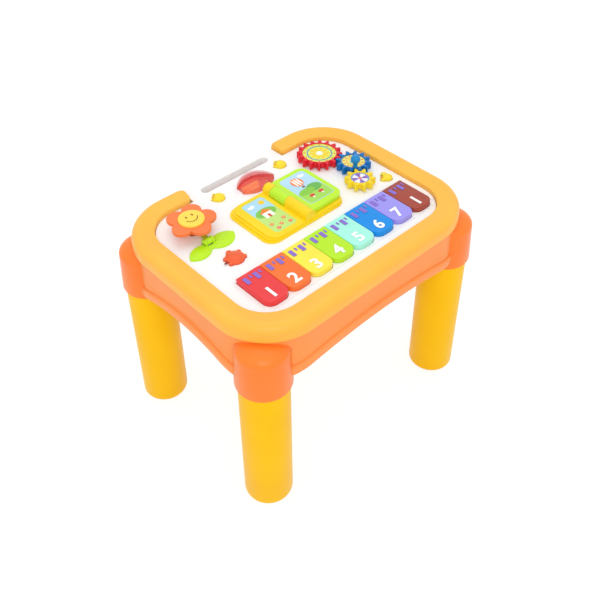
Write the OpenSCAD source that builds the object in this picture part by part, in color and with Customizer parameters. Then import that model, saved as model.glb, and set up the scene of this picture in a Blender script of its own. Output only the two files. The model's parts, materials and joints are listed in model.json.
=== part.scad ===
// Musical activity table for a small child. Millimetres, +Z up. The origin is
// on the floor, under the middle of the table. The player sits at -Y.

/* [Table] */
// Length over the corner sockets
table_l = 435; // [425:1:460]
// Width over the corner sockets
table_w = 330; // [324:1:350]
// Height of the rim's crown above the floor
table_h = 335; // [333:1:350]
// Length of leg that shows below its socket
leg_shown = 230; // [180:1:235]
// Diameter of a leg
leg_d = 69; // [60:1:70]
// Wall of a leg tube
leg_wall = 3; // [2:0.5:5]
// Rounding round the foot of a leg
foot_round = 9; // [4:1:12]
// Wall of a corner socket
socket_wall = 3.8; // [3:0.1:6]
// Height of a corner socket under the skirt's shelf
socket_h = 60; // [56:1:62]
// How much smaller a socket's radius is at its top than at its foot
socket_taper = 2.3; // [0:0.1:2.5]
// Height of a socket's round top, which shows beside the skirt
socket_dome = 17; // [8:0.5:18]
// Roof of a corner socket
socket_roof = 3.5; // [2.5:0.5:5]
// Play between a leg and its socket
leg_play = 0.2; // [0.1:0.05:0.4]

/* [Rim and apron] */
// Length of the rim
rim_l = 423; // [418:1:428]
// Width of the rim
rim_w = 326; // [322:1:328]
// Width of the rim's band
rim_band = 33; // [31:1:34]
// Corner radius inside the rim
rim_corner = 52; // [30:1:54]
// Height of the rim moulding
rim_h = 27; // [24:1:28]
// Wall of the rim moulding
rim_wall = 2.6; // [2:0.2:3]
// Length of the gap in the rim behind the handle
gap_l = 176; // [170:1:190]
// How far the rim stands out past the skirt
skirt_inset = 5; // [3:1:7]
// Wall of the skirt
skirt_wall = 2.8; // [2:0.2:4]
// Height of the skirt's lower edge at mid side
skirt_mid_z = 257; // [250:1:264]
// Rise of the long sides' arch
long_rise = 15; // [8:1:20]
// Rise of the short sides' arch
short_rise = 20; // [10:1:22]
// Height of the lip along the skirt's lower edge
lip_h = 14; // [8:1:18]
// How far the lip stands out from the skirt
lip_out = 4.5; // [2:0.5:4.5]
// Thickness of the shelf that carries the play panel
shelf_t = 3; // [2:0.5:4]

/* [Play panel] */
// How far the panel lies below the rim's crown
panel_drop = 10; // [8:1:13]
// Gap between panel and rim
panel_gap = 0.6; // [0.4:0.1:1]
// Wall of the panel shells
panel_wall = 2.5; // [2:0.1:3]
// Depth of the base shell under the shelf
base_depth = 21; // [20:1:26]
// How far the base shell is set in from the top shell
base_inset = 5.4; // [5:0.2:7]
// Width of the carry handle
handle_l = 172; // [166:1:174]
// Height of the carry handle
handle_h = 22; // [16:1:26]
// Length of the finger slot
slot_l = 127; // [100:1:132]
// Width of the finger slot
slot_w = 14; // [12:1:16]
// Distance from the handle's rear face to the finger slot
grip_w = 16; // [14:1:17]

/* [Keys] */
// Distance from key to key
key_pitch = 39.3; // [39:0.1:39.6]
// Gap between two keys
key_gap = 0.8; // [0.6:0.1:1.2]
// Middle of the row of keys
keys_x = 5; // [0:1:7]
// Rear edge of the keys
key_rear_y = -46; // [-47:0.5:-45]
// Front edge of the keys
key_front_y = -111; // [-113:0.5:-108]
// How far the keys stand above the panel
key_proud = 8; // [6:0.5:9]
// Front corner radius of a key
key_corner = 13; // [10:1:15]
// Radius of the rod that the keys turn on
key_rod_r = 2; // [1.5:0.1:2.5]

/* [Gears] */
// Size of a tooth: pitch diameter over number of teeth
gear_module = 4; // [3.8:0.1:4]
// Teeth of the red gear
red_teeth = 16; // [14:2:16]
// Teeth of the blue gear
blue_teeth = 12; // [10:1:12]
// Teeth of the yellow gear
yellow_teeth = 10; // [8:1:10]
// Middle of the blue gear
blue_at = [143, 31]; // [20:1:145]
// Direction from the blue gear to the red one
to_red = 112.5; // [108:0.5:116]
// Direction from the blue gear to the yellow one
to_yellow = 237; // [232:1:242]
// Thickness of the gears
gear_t = 11; // [9:0.5:13]
// Gap under the gears
gear_lift = 1.5; // [1:0.5:2]
// Radius of the gear axles
axle_r = 4; // [3:0.5:5]
// Distance of the crank knob from the blue gear's middle
knob_offset = 17; // [15:1:18]
// Direction of the crank knob
knob_dir = 233; // [0:1:359]
// Diameter of the crank knob's ball
knob_d = 14.5; // [12:0.5:15]
// Height of the ball's middle above the gear
knob_rise = 14; // [11:1:16]

/* [Book] */
// Left and front edge of the book tray
book_from = [-73, -24]; // [-76:1:-20]
// Right and rear edge of the book tray
book_to = [74, 74]; // [72:1:76]
// Height of the book tray above the panel
book_h = 6.5; // [6:0.5:8]
// Corner radius of the book tray
book_corner = 18; // [14:1:20]
// Place of the book's spine across the table
spine_x = 4.5; // [2:0.5:7]
// Radius of the spine
spine_r = 9; // [8.5:0.5:10]
// Thickness of the page that turns
page_t = 6.5; // [5:0.5:7]
// Gap between page and tray
page_gap = 0.5; // [0.4:0.1:1]
// Front and rear edge of the page
page_y = [-16, 73]; // [-18:1:74]
// Right edge of the page
page_to_x = 75; // [70:1:77]
// Front and rear edge of the page's knuckle
knuckle_y = [25, 57]; // [20:1:60]
// Radius of the spine's pin
spine_pin_r = 2.5; // [2:0.5:3.5]

/* [Flower] */
// Middle of the flower
flower_at = [-130, 74]; // [-133:1:78]
// Height of the petals' underside above the panel
flower_rise = 18; // [16:1:22]
// Thickness of the petals
petal_t = 5; // [4:0.5:6]
// Radius of a petal
petal_r = 14.5; // [13:0.5:15.5]
// Distance of a petal's middle from the flower's middle
petal_reach = 21; // [19:0.5:22]
// Diameter of the flower's face
face_d = 37; // [30:1:38]
// Distance of the flower's pivot from its middle
pivot_back = 35; // [33:1:37]
// Height of the flower's pivot above the panel
pivot_rise = 6; // [6:0.5:8]
// Radius of the stem
stem_r = 4.5; // [4:0.5:5]
// Thickness of the leaves
leaf_t = 4.5; // [3:0.5:5]

/* [Buttons and lamp] */
// Middle of the beetle-shaped button
beetle_at = [-122, -8]; // [-126:1:-6]
// Radius of the beetle-shaped button
beetle_r = 13; // [11:0.5:14]
// Middle of the left chick button
left_chick_at = [-55, 111]; // [-60:1:113]
// Middle of the right chick button
right_chick_at = [66, 112]; // [62:1:113]
// Radius of a chick button
chick_r = 9.5; // [8:0.5:10]
// Middle of the bird button
bird_at = [159, -24]; // [-26:1:160]
// Radius of the bird button's body
bird_r = 8; // [7:0.5:8.5]
// How far the buttons stand above the panel
button_proud = 7; // [5:0.5:9]
// Gap round a button in its hole
button_gap = 0.5; // [0.4:0.1:0.8]
// Travel of a button
button_travel = 2; // [1.5:0.5:2.5]
// Middle of the lamp window
window_at = [7, 101]; // [5:1:102]
// Radius of the two arcs that bound the lamp window
window_arc = 42; // [40:1:43]
// Width of the lamp window from front to rear
window_w = 41; // [38:1:42]
// Height of the lamp window above the panel
window_h = 13; // [10:1:14]

/* [Hidden] */
KEY_COUNT = 8;
CORNERS = [[-1, -1], [1, -1], [-1, 1], [1, 1]];
CORNER_NAMES = ["front_left", "front_right", "rear_left", "rear_right"];
KEY_COLOURS = ["tomato", "coral", "gold", "greenyellow", "aquamarine",
    "dodgerblue", "mediumpurple", "sienna"];

eps = 0.01;
far = 600;
$fn = 72;

// Legs and sockets
leg_r = leg_d / 2;
socket_bore = leg_r + leg_play;
socket_r = socket_bore + socket_wall;
socket_x = table_l / 2 - socket_r;
socket_y = table_w / 2 - socket_r;
socket_top = leg_shown + socket_h;
socket_edge = 1.5;
dome_z = socket_top - 1;
leg_top = socket_top - socket_roof - leg_play;

// Rim and apron. A section's x is the distance out from the rim's inner wall.
rim_x = rim_l / 2 - rim_band;
rim_y = rim_w / 2 - rim_band;
rim_z = table_h - rim_h;
rim_round = 13;
rim_edge = 2;
rim_slope = 10;
rim_tuck = 5;
rim_screw_u = 18;
rim_screw_front_x = rim_x - 58.5;
rim_screw_rear_x = gap_l / 2 + 30;
rim_screw_side_y = rim_y - 80;
rim_screw_l = 12;
corner_screw_u = 14.3;
socket_screw_step = 8;
gap_round = 8;
gap_overhang = 0.3;
skirt_u = rim_band - skirt_inset;
shelf_z = socket_top;
shelf_top = shelf_z + shelf_t;
ledge_play = 0.2;
flange_t = 3;
flange_w = 11;
arch_long_end = 12;
arch_short_end = 20;
arch_run_out = 6;
screw_r = 1.5;
screw_head_r = 3.2;
screw_head_h = 2.2;
boss_r = 4;

// Play panel
panel_z = table_h - panel_drop;
plate_z = panel_z - panel_wall;
base_z = shelf_top - base_depth;
floor_z = base_z + panel_wall;
handle_y = rim_w / 2;
handle_z = panel_z - handle_h;
handle_corner = 14;
slot_y = handle_y - grip_w - slot_w / 2;
socket_gap = 1;
shoulder_gap = 0.6;
front_screw_in = 11.5;
rear_screw_in = [50.5, 14];
mid_screw = [88, 20];

// Battery box, in the base shell
cell_r = 7.25;
cell_l = 50.5;
cell_count = 3;
cell_pitch = 15.5;
cells_y = 35;
box_x = 29;
box_y = cell_count * cell_pitch / 2 + 0.5;
box_wall = 4;
door_step = 2;
door_gap = 0.3;
tab_r = 5.5;
tab_y = box_y + 7;
box_top = floor_z + 2 * cell_r + 1.5;
cell_z = floor_z + cell_r + 0.5;
nub_r = 2.7;
nub_l = 1.5;
contact_w = 11;
contact_t = 0.8;

// Electronics
board_z = shelf_top + 4;
board_t = 1.6;
board_l = 290;
board_w = 46;
board_y = -84;
CHIPS = [[-30, 14, 8], [20, 9, 9]];
chip_y = board_y + 4;
mat_t = 1.5;
mat_w = 14;
mat_end = 5;
dome_r = 5;
dome_h = 4;
speaker_at = [112, 62];
speaker_r = 28;
speaker_h = 16;
speaker_post_r = 2.5;
speaker_play = 0.3;
switch_at = [-70, -20];
switch_travel = 6;
switch_l = 8;
switch_w = 6;

// Keys
key_w = key_pitch - key_gap;
key_top = panel_z + key_proud;
key_wall = 2.4;
key_foot = plate_z - 6;
key_play = 0.6;
bay_margin = 5;
bay_corner = 12;
groove = 1;
rod_y = key_rear_y + 10;
rod_z = plate_z - 6;
knuckle_r = 4.2;
knuckle_w = 22;
key_stop_w = 16;
key_stop_t = 2;
bracket_w = 5;
bracket_clear = 0.4;
key_stop_y = 1.8;
plunger_y = -92;
plunger_r = 3;
plunger_gap = 3.2;
mat_top = board_z + board_t + mat_t + dome_h;

// Gears
pitch_red = gear_module * red_teeth / 2;
pitch_blue = gear_module * blue_teeth / 2;
pitch_yellow = gear_module * yellow_teeth / 2;
red_at = blue_at + (pitch_red + pitch_blue) * [cos(to_red), sin(to_red)];
yellow_at = blue_at + (pitch_blue + pitch_yellow) * [cos(to_yellow), sin(to_yellow)];
red_turn = to_red + 180;
blue_turn = to_red + 180 / blue_teeth;
yellow_turn = to_yellow + 180 - (blue_turn - to_yellow) * blue_teeth / yellow_teeth
    + 180 / yellow_teeth;
gear_z = panel_z + gear_lift;
gear_top = gear_z + gear_t;
gear_rest = 0.3;
tooth_out = 3;
tooth_in = 4.4;
tooth_half = [3.6, 2.6, 1.7];
disc_t = 1.2;
disc_drop = 2;
disc_z = gear_top - disc_drop - disc_t;
disc_rim = 1.6;
axle_head_r = 6.5;
axle_head_h = 2.2;
axle_thread = 8;
hub_floor = disc_z - axle_head_h - 2 * gear_rest;
running_play = 0.05;
knob_at = blue_at + knob_offset * [cos(knob_dir), sin(knob_dir)];
knob_post_r = 3.6;
knob_pin_r = 2;
knob_pin_l = 4;

// Book
spine_z = panel_z + book_h + page_gap + page_t / 2;
page_x = spine_x + spine_r + page_gap;
page_z = spine_z - page_t / 2;
page_corner = 14;
book_step = 4;
card_t = 1;
left_card_from = [-52, -13];
left_card_to = [-12, 66];
right_card_from = [21, -5];
right_card_to = [68, 66];
card_corner = 6;
spine_end = 3;
spine_gap = 0.4;

// Flower
petal_z = panel_z + flower_rise;
pivot_y = flower_at[1] - pivot_back;
pivot_z = panel_z + pivot_rise;
pivot_pin_r = 1.5;
pivot_r = 5;
stem_half_w = 4;
pivot_gap = 0.4;
ear_t = 3;
flower_post_r = 5;
face_t = 3;
LEFT_LEAF = [40, 25];
RIGHT_LEAF = [44, 29];
LEFT_LEAF_AT = [-19, -8];
RIGHT_LEAF_AT = [20, -6];
leaf_hub_r = 9;
leaf_hub_back = 4;

// Buttons and lamp
button_flange_t = 2;
button_flange = 2;
button_post_r = 3;
button_skirt_h = 3;
cap_step = 0.5;
bird_head_r = 5;
BIRD_HEAD = [1.5, 8];
dome_gap = 1.2;
button_post_z = mat_top + button_travel + dome_gap;
tower_r = 8;
tower_top = mat_top - dome_h - mat_t;
window_wall = 2;
window_flange = 2.5;
window_bowl = 60;
lens_notch_r = 30;
window_lip = 1.5;
reflector_l = 80;
reflector_w = 46;
reflector_h = 10;
lamp_r = 2.5;
LAMPS_AT = [[8, 10], [10, -9], [24, 2]];
INSERT_BAR = [[-25, -4], [29, 6]];
INSERT_BLOCK = [[-18, -12.5], [16, 6.5]];
INSERT_FOOT = [[-25, -12.5], [23, 14]];

function arc(cx, cy, r, a0, a1, n = 8) =
    [for (i = [0 : n]) let (a = a0 + (a1 - a0) * i / n) [cx + r * cos(a), cy + r * sin(a)]];

function middle(from, to) = (from + to) / 2;

function arch_radius(half, rise) = (half * half + rise * rise) / (2 * rise);

// Rounded rectangle centred on the origin
module round_rect(l, w, r) {
    square([l - 2 * r, w], center = true);
    square([l, w - 2 * r], center = true);
    for (c = CORNERS)
        translate([c[0] * (l / 2 - r), c[1] * (w / 2 - r)]) circle(r);
}

// Rounded rectangle between two opposite corners
module round_box(from, to, r) {
    size = to - from;
    translate(middle(from, to)) round_rect(size[0], size[1], r);
}

// Slab of a flat shape between two heights
module slab(z0, z1) {
    translate([0, 0, z0]) linear_extrude(z1 - z0) children();
}

// Upright round bar
module bar(r, z0, z1) {
    translate([0, 0, z0]) cylinder(r = r, h = z1 - z0);
}

// Sweeps a section round the rim's inner line
module sweep_rim() {
    for (i = [0 : 3]) {
        c = [[1, 1], [-1, 1], [-1, -1], [1, -1]][i];
        long = i % 2 == 1;
        run = long ? rim_x - rim_corner : rim_y - rim_corner;
        out = long ? rim_y : rim_x;
        translate([c[0] * (rim_x - rim_corner), c[1] * (rim_y - rim_corner), 0])
            rotate([0, 0, 90 * i])
                rotate_extrude(angle = 90) translate([rim_corner, 0]) children();
        rotate([0, 0, 90 * i]) translate([out, 0, 0]) rotate([90, 0, 0])
            linear_extrude(2 * run, center = true) children();
    }
}

// Self-tapping screw with its head at the bottom
module screw(z, l) {
    bar(screw_head_r, z - screw_head_h, z);
    bar(screw_r, z - eps, z + l);
}

// ---- Table frame ----

// Outside of the rim's section: inner edge, sloping top, round outer edge
module rim_section() {
    round_z = table_h - rim_round;
    round_u = rim_band - rim_round;
    lean = 90 + rim_slope;
    edge_z = round_z + (rim_round - rim_edge + (round_u - rim_edge) * cos(lean)) / sin(lean);
    polygon(concat(
        [[0, rim_z]],
        arc(rim_edge, edge_z, rim_edge, 180, lean, 3),
        arc(round_u, round_z, rim_round, lean, 0, 10),
        arc(rim_band - rim_tuck, rim_z + rim_tuck, rim_tuck, 0, -90, 4)));
}

// Hollow under the rim
module rim_hollow_section() {
    round_z = table_h - rim_round;
    round_u = rim_band - rim_round;
    outer_u = rim_band - rim_wall;
    polygon(concat(
        [[rim_wall, rim_z - 1], [rim_wall, table_h - rim_edge - 2 * rim_wall]],
        arc(round_u, round_z, rim_round - rim_wall, 90 + rim_slope, 0, 6),
        [[outer_u, rim_z + rim_tuck + 1], [skirt_u - rim_wall, rim_z + 1.5],
         [skirt_u - rim_wall, rim_z - 1]]));
}

// Plan of the gap behind the handle, whose ends are round in plan
module gap_plan(half, r) {
    end = 4 * r;
    difference() {
        translate([-half - r, rim_y - 2]) square([2 * (half + r), rim_w / 2 - rim_y + 4]);
        for (s = [-1, 1])
            translate([s * (half + end / 2), rim_y + rim_band / 2])
                round_rect(end, rim_band + 2 * gap_overhang, r);
    }
}

function rim_screws_at() = [
    for (s = [-1, 1]) [s * rim_screw_front_x, -rim_y - rim_screw_u],
    for (s = [-1, 1]) [s * rim_screw_rear_x, rim_y + rim_screw_u],
    for (s = [-1, 1], t = [-1, 1]) [s * (rim_x + rim_screw_u), t * rim_screw_side_y]];

// Two over each socket, one step to each side of its middle, on an arc outside the panel
function socket_screws_at() =
    let (x = rim_x - rim_corner, y = rim_y - rim_corner, r = rim_corner + corner_screw_u)
    let (middle_turn = atan2(socket_y - y, socket_x - x), turn = socket_screw_step / r * 180 / PI) [
        for (c = CORNERS, s = [-1, 1]) let (a = middle_turn + s * turn)
            [c[0] * (x + r * cos(a)), c[1] * (y + r * sin(a))]];

// Outer radius of a socket at a height on its side
function socket_side(z) = socket_r - socket_taper * (z - leg_shown - socket_edge) / (socket_h - socket_edge);

module table_rim() color("orange") {
    difference() {
        sweep_rim() rim_section();
        slab(rim_z - 1, table_h + 1) gap_plan(gap_l / 2, gap_round);
        difference() {
            sweep_rim() rim_hollow_section();
            slab(rim_z - 2, table_h + 1) gap_plan(gap_l / 2 + rim_wall, gap_round - rim_wall);
            for (p = rim_screws_at()) translate(p) bar(boss_r, rim_z - 2, table_h);
        }
        for (p = rim_screws_at()) translate(p) bar(screw_r, rim_z - 1, rim_z + rim_screw_l);
    }
}

// Skirt wall, top flange and shelf
module apron_section() {
    polygon([
        [-base_inset, shelf_z], [skirt_u - skirt_wall, shelf_z],
        [skirt_u - skirt_wall, leg_shown], [skirt_u, leg_shown],
        [skirt_u, rim_z], [skirt_u - skirt_wall - flange_w, rim_z],
        [skirt_u - skirt_wall - flange_w, rim_z - flange_t], [skirt_u - skirt_wall, rim_z - flange_t],
        [skirt_u - skirt_wall, shelf_top],
        [-base_inset, shelf_top]]);
}

// Lip that stands out from the skirt along the arches of two opposite sides
module side_lip(half, rise, turn) {
    r = arch_radius(half, rise);
    intersection() {
        sweep_rim() translate([skirt_u - skirt_wall, leg_shown])
            square([skirt_wall + lip_out, socket_h]);
        rotate([90, 0, turn]) linear_extrude(far, center = true) intersection() {
            translate([0, skirt_mid_z - r]) difference() {
                circle(r + lip_h, $fn = 360);
                circle(r, $fn = 360);
            }
            translate([-half, leg_shown]) square([2 * half, socket_h]);
        }
    }
}

// Space under the arches of two opposite sides
module under_arch(half, rise) {
    r = arch_radius(half, rise);
    rotate([90, 0, 0]) linear_extrude(far, center = true) intersection() {
        translate([0, skirt_mid_z - r]) circle(r, $fn = 360);
        translate([-half, leg_shown - 20]) square([2 * half, socket_h]);
    }
}

module apron() color("darkorange") {
    long_half = socket_x - arch_long_end;
    short_half = socket_y - arch_short_end;
    difference() {
        union() {
            sweep_rim() apron_section();
            side_lip(long_half, long_rise, 0);
            side_lip(short_half, short_rise, 90);
        }
        under_arch(long_half + arch_run_out, long_rise);
        rotate([0, 0, 90]) under_arch(short_half + arch_run_out, short_rise);
        for (c = CORNERS)
            translate([c[0] * socket_x, c[1] * socket_y, leg_shown - 1])
                cylinder(r1 = socket_side(leg_shown - 1), r2 = socket_side(shelf_z), h = socket_h + 1);
        slab(handle_z - panel_gap, rim_z + 1)
            translate([-handle_l / 2 - panel_gap, rim_y - 2])
                square([handle_l + 2 * panel_gap, 2 * rim_band]);
        slab(shelf_z - 1, shelf_top + 1)
            translate([-slot_l / 2, slot_y - slot_w / 2 - 1]) square([slot_l, slot_w + 8]);
        for (p = rim_screws_at()) translate(p) bar(screw_r, rim_z - flange_t - 1, rim_z + 1);
        for (p = socket_screws_at()) translate(p) bar(screw_r, shelf_z - 1, shelf_top + 1);
    }
}

// Socket under the shelf, whose round top rises outside the skirt
module leg_socket(i) color("darkorange") {
    c = CORNERS[i];
    difference() {
        translate([c[0] * socket_x, c[1] * socket_y, 0])
            rotate_extrude() polygon(concat(
                [[0, socket_top - socket_roof], [socket_bore, socket_top - socket_roof],
                 [socket_bore, leg_shown]],
                arc(socket_r - socket_edge, leg_shown + socket_edge, socket_edge, -90, 0, 4),
                [for (a = [0 : 9 : 90]) [socket_side(dome_z) * cos(a), dome_z + socket_dome * sin(a)]]));
        slab(socket_top, rim_z)
            round_rect(2 * (rim_x + skirt_u), 2 * (rim_y + skirt_u), rim_corner + skirt_u);
        for (p = socket_screws_at())
            translate(p) bar(screw_r, socket_top - socket_roof - 1, socket_top + 1);
    }
}

module leg(i) color("gold") {
    c = CORNERS[i];
    translate([c[0] * socket_x, c[1] * socket_y, 0])
        rotate_extrude() polygon(concat(
            [[0, 0]],
            arc(leg_r - foot_round, foot_round, foot_round, -90, 0, 8),
            [[leg_r, leg_top], [leg_r - leg_wall, leg_top],
             [leg_r - leg_wall, leg_wall + 1], [0, leg_wall + 1]]));
}

module frame_screws() color("silver") {
    for (p = rim_screws_at()) translate(p) screw(rim_z - flange_t, rim_screw_l);
    for (p = socket_screws_at())
        translate([p[0], p[1], 0]) mirror([0, 0, 1]) screw(-shelf_top, shelf_t + socket_roof);
}

// ---- Play panel ----

// Plan of the panel without its handle, drawn in by t
module panel_plan(t = 0) {
    inset = panel_gap + t;
    round_rect(2 * (rim_x - inset), 2 * (rim_y - inset), rim_corner - inset);
}

// Plan of the handle, drawn in by t
module handle_plan(t = 0) {
    half = handle_l / 2 - t;
    root = rim_y - panel_gap - panel_wall;
    difference() {
        union() {
            translate([-half, root + t]) square([2 * half, handle_y - handle_corner - root - t]);
            translate([-handle_l / 2 + handle_corner, root + t])
                square([handle_l - 2 * handle_corner, handle_y - root - 2 * t]);
            for (s = [-1, 1])
                translate([s * (handle_l / 2 - handle_corner), handle_y - handle_corner])
                    circle(handle_corner - t);
        }
        translate([0, slot_y]) round_rect(slot_l + 2 * t, slot_w + 2 * t, slot_w / 2 + t - eps);
    }
}

function key_x(i) = keys_x + (i - (KEY_COUNT - 1) / 2) * key_pitch;

// Plan of one key's top, grown by t
module key_plan(i, t = 0) {
    r = key_corner + t;
    half = key_w / 2 + t;
    front = key_front_y - t;
    translate([key_x(i), 0]) {
        translate([-half, front + r]) square([2 * half, key_rear_y + t - front - r]);
        translate([-half + r, front]) square([2 * (half - r), r + 1]);
        for (s = [-1, 1]) translate([s * (half - r), front + r]) circle(r);
    }
}

// Plan of the bay round the keys, drawn out by t; a groove follows it
module bay_plan(t) {
    side = key_w / 2 + bay_margin + t;
    round_box([key_x(0) - side, key_front_y - bay_margin + 1 - t],
        [key_x(KEY_COUNT - 1) + side, key_rear_y + bay_margin + t], bay_corner + t);
}

// Plan of the beetle: round body, four feet, a head and a tail
module beetle_plan(t = 0) {
    translate(beetle_at) {
        circle(beetle_r + t);
        for (a = [28, 152, 208, 332]) rotate(a) translate([beetle_r, 0]) circle(3 + t);
        translate([0, beetle_r]) circle(4 + t);
    }
}

module chick_plan(at, t = 0) {
    translate(at) {
        circle(chick_r + t);
        translate([-chick_r, 2]) circle(1.8 + t);
        translate([-2, chick_r]) circle(2 + t);
    }
}

// Plan of the bird: body, head and wing
module bird_plan(t = 0) {
    translate(bird_at) {
        circle(bird_r + t);
        translate(BIRD_HEAD) circle(bird_head_r + t);
        translate([-7, 1]) circle(4.5 + t);
    }
}

// Plan of one of the four push buttons, grown by t
module button_plan(k, t = 0) {
    if (k == 0) beetle_plan(t);
    if (k == 1) chick_plan(left_chick_at, t);
    if (k == 2) chick_plan(right_chick_at, t);
    if (k == 3) bird_plan(t);
}

// Plan of the lamp window: two arcs, with a hollow left end, drawn in by t
module window_plan(t = 0) {
    up = window_arc - window_w / 2;
    half = sqrt(window_arc * window_arc - up * up);
    translate(window_at) difference() {
        intersection() {
            translate([0, -up]) circle(window_arc - t);
            translate([0, up]) circle(window_arc - t);
        }
        translate([-half - lens_notch_r + 8, 3]) circle(lens_notch_r + t);
    }
}

// Where the brackets of the key rod stand: between the keys and at both ends
function rod_ends() = [for (s = [-1, 1]) keys_x + s * (KEY_COUNT / 2 * key_pitch + 3)];
function rod_brackets() = concat(rod_ends(), [for (i = [0, 2, 4, 6]) key_x(i) + key_pitch / 2]);

module key_rod(r = key_rod_r) {
    l = rod_ends()[1] - rod_ends()[0] + bracket_w;
    translate([keys_x, rod_y, rod_z]) rotate([0, 90, 0]) cylinder(r = r, h = l, center = true);
}

// Bracket of the key rod, grown by t
module rod_bracket(x, t = 0) {
    translate([x - bracket_w / 2 - t, rod_y - knuckle_r - t, rod_z - knuckle_r - t])
        cube([bracket_w + 2 * t, 2 * (knuckle_r + t), plate_z - rod_z + knuckle_r + t + eps]);
}

module panel_top() color("white") {
    difference() {
        union() {
            slab(plate_z, panel_z) panel_plan();
            slab(shelf_top, plate_z + eps) difference() {
                panel_plan();
                panel_plan(panel_wall);
            }
            difference() {
                slab(handle_z, panel_z) handle_plan();
                slab(handle_z - 1, plate_z) handle_plan(panel_wall);
            }
            for (p = panel_screws_at()) translate(p) bar(boss_r, shelf_top + 6, plate_z + eps);
            for (x = rod_brackets()) rod_bracket(x);
            for (p = [red_at, blue_at, yellow_at])
                translate(p) bar(axle_head_r, plate_z - axle_thread, gear_z - gear_rest);
        }
        slab(plate_z - 1, panel_z + 1) {
            for (i = [0 : KEY_COUNT - 1]) key_plan(i, key_play);
            for (k = [0 : 3]) button_plan(k, button_gap);
            translate(flower_at) circle(flower_post_r + 3);
        }
        slab(plate_z - 1, panel_z + 1) window_plan();
        slab(panel_z - groove, panel_z + 1) difference() {
            bay_plan(groove / 2);
            bay_plan(-groove / 2);
        }
        for (p = [red_at, blue_at, yellow_at])
            translate(p) bar(axle_r - 1, plate_z - axle_thread - 1, gear_z);
        for (p = panel_screws_at()) translate(p) bar(screw_r, shelf_top, plate_z - 2);
        key_rod();
        slab(handle_z - 1, panel_z + 1)
            translate([0, slot_y]) round_rect(slot_l, slot_w, slot_w / 2 - eps);
    }
}

module battery_plan(t) {
    translate([-box_x - t, cells_y - box_y - t]) square([2 * (box_x + t), 2 * (box_y + t)]);
}

// Plan of the battery door, drawn in by t
module door_plan(t) {
    translate([-box_x - door_step + t, cells_y - box_y - door_step + t])
        square([2 * (box_x + door_step - t), 2 * (box_y + door_step - t)]);
    translate([0, cells_y + tab_y]) circle(tab_r - t);
    translate([-tab_r + t, cells_y + box_y - 1]) square([2 * (tab_r - t), tab_y - box_y + 1]);
}

function cell_y(k) = cells_y + (k - (cell_count - 1) / 2) * cell_pitch;

// Front ones between the outer two keys at each end, rear ones beside the sockets, two amidships
function panel_screws_at() = concat(
    [for (i = [0.5, KEY_COUNT - 1.5]) [key_x(i), front_screw_in - rim_y]],
    [for (s = [-1, 1]) [s * (rim_x - rear_screw_in[0]), rim_y - rear_screw_in[1]]],
    [for (s = [-1, 1]) [s * mid_screw[0], mid_screw[1]]]);

// Plan of the base shell, which leaves the corner sockets free, drawn in by t
module base_plan(t = 0) {
    difference() {
        panel_plan(base_inset + t);
        for (c = CORNERS)
            translate([c[0] * socket_x, c[1] * socket_y]) circle(socket_r + socket_gap + t);
    }
}

function towers_at() = [flower_at, beetle_at, left_chick_at, right_chick_at, bird_at];
function board_posts() = [for (s = [-1, 1], y = [-18, 18]) [s * (board_l / 2 - 8), board_y + y]];

module panel_base() color("whitesmoke") {
    shoulder_z = socket_top + shoulder_gap;
    difference() {
        union() {
            slab(base_z, floor_z) base_plan();
            slab(floor_z - eps, shoulder_z) difference() {
                base_plan();
                base_plan(panel_wall);
            }
            slab(shoulder_z - eps, shelf_top) difference() {
                panel_plan(base_inset);
                base_plan(panel_wall);
            }
            slab(shelf_top, shelf_top + panel_wall) difference() {
                panel_plan(panel_wall + ledge_play);
                panel_plan(base_inset + panel_wall);
            }
            slab(floor_z - eps, box_top + 2) battery_plan(box_wall);
            translate([0, cells_y + tab_y]) bar(boss_r, floor_z - eps, floor_z + 8);
            for (p = panel_screws_at()) translate(p) bar(boss_r + 1, floor_z - eps, shelf_top + 6);
            for (p = towers_at()) translate(p) bar(tower_r, floor_z - eps, tower_top);
            for (p = board_posts()) translate(p) bar(boss_r, floor_z - eps, board_z);
            for (a = [45 : 90 : 315])
                translate(speaker_at) rotate(a)
                    translate([speaker_r + speaker_play + speaker_post_r, 0])
                        bar(speaker_post_r, floor_z - eps, floor_z + 6);
        }
        slab(floor_z - 3, box_top) battery_plan(0);
        slab(base_z - 1, floor_z) door_plan(0);
        translate([0, cells_y + tab_y]) bar(screw_r, floor_z - 1, floor_z + 9);
        for (p = panel_screws_at()) translate(p) {
            bar(screw_r, base_z - 1, shelf_top + 7);
            bar(screw_head_r + 0.2, base_z - 1, base_z + screw_head_h + 4);
        }
        translate(switch_at) slab(base_z - 1, floor_z + 1)
            square([switch_travel + switch_l + 0.6, switch_w + 0.6], center = true);
        translate(speaker_at) for (ring = [0 : 3], k = [0 : max(0, 6 * ring - 1)])
            rotate(60 / max(1, ring) * k) translate([6 * ring, 0])
                bar(1.6, base_z - 1, floor_z + 1, $fn = 16);
    }
}

module panel_screws() color("silver") {
    for (p = panel_screws_at())
        translate(p) screw(base_z + screw_head_h + 4, shelf_top - base_z + 14);
    translate([0, cells_y + tab_y]) screw(base_z, panel_wall + 7);
}

module battery_door() color("whitesmoke") {
    difference() {
        slab(base_z, floor_z) door_plan(door_gap);
        translate([0, cells_y + tab_y]) bar(screw_r, base_z - 1, floor_z + 1);
        for (k = [-2 : 2])
            translate([-12, cells_y - box_y + 8 + 3 * k, base_z - 1]) cube([24, 1.2, 1.6]);
    }
}

module battery_cells() color("dimgray") {
    for (k = [0 : cell_count - 1])
        translate([-cell_l / 2, cell_y(k), cell_z]) rotate([0, 90, 0]) {
            cylinder(r = cell_r, h = cell_l - nub_l);
            cylinder(r = nub_r, h = cell_l);
        }
}

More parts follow.
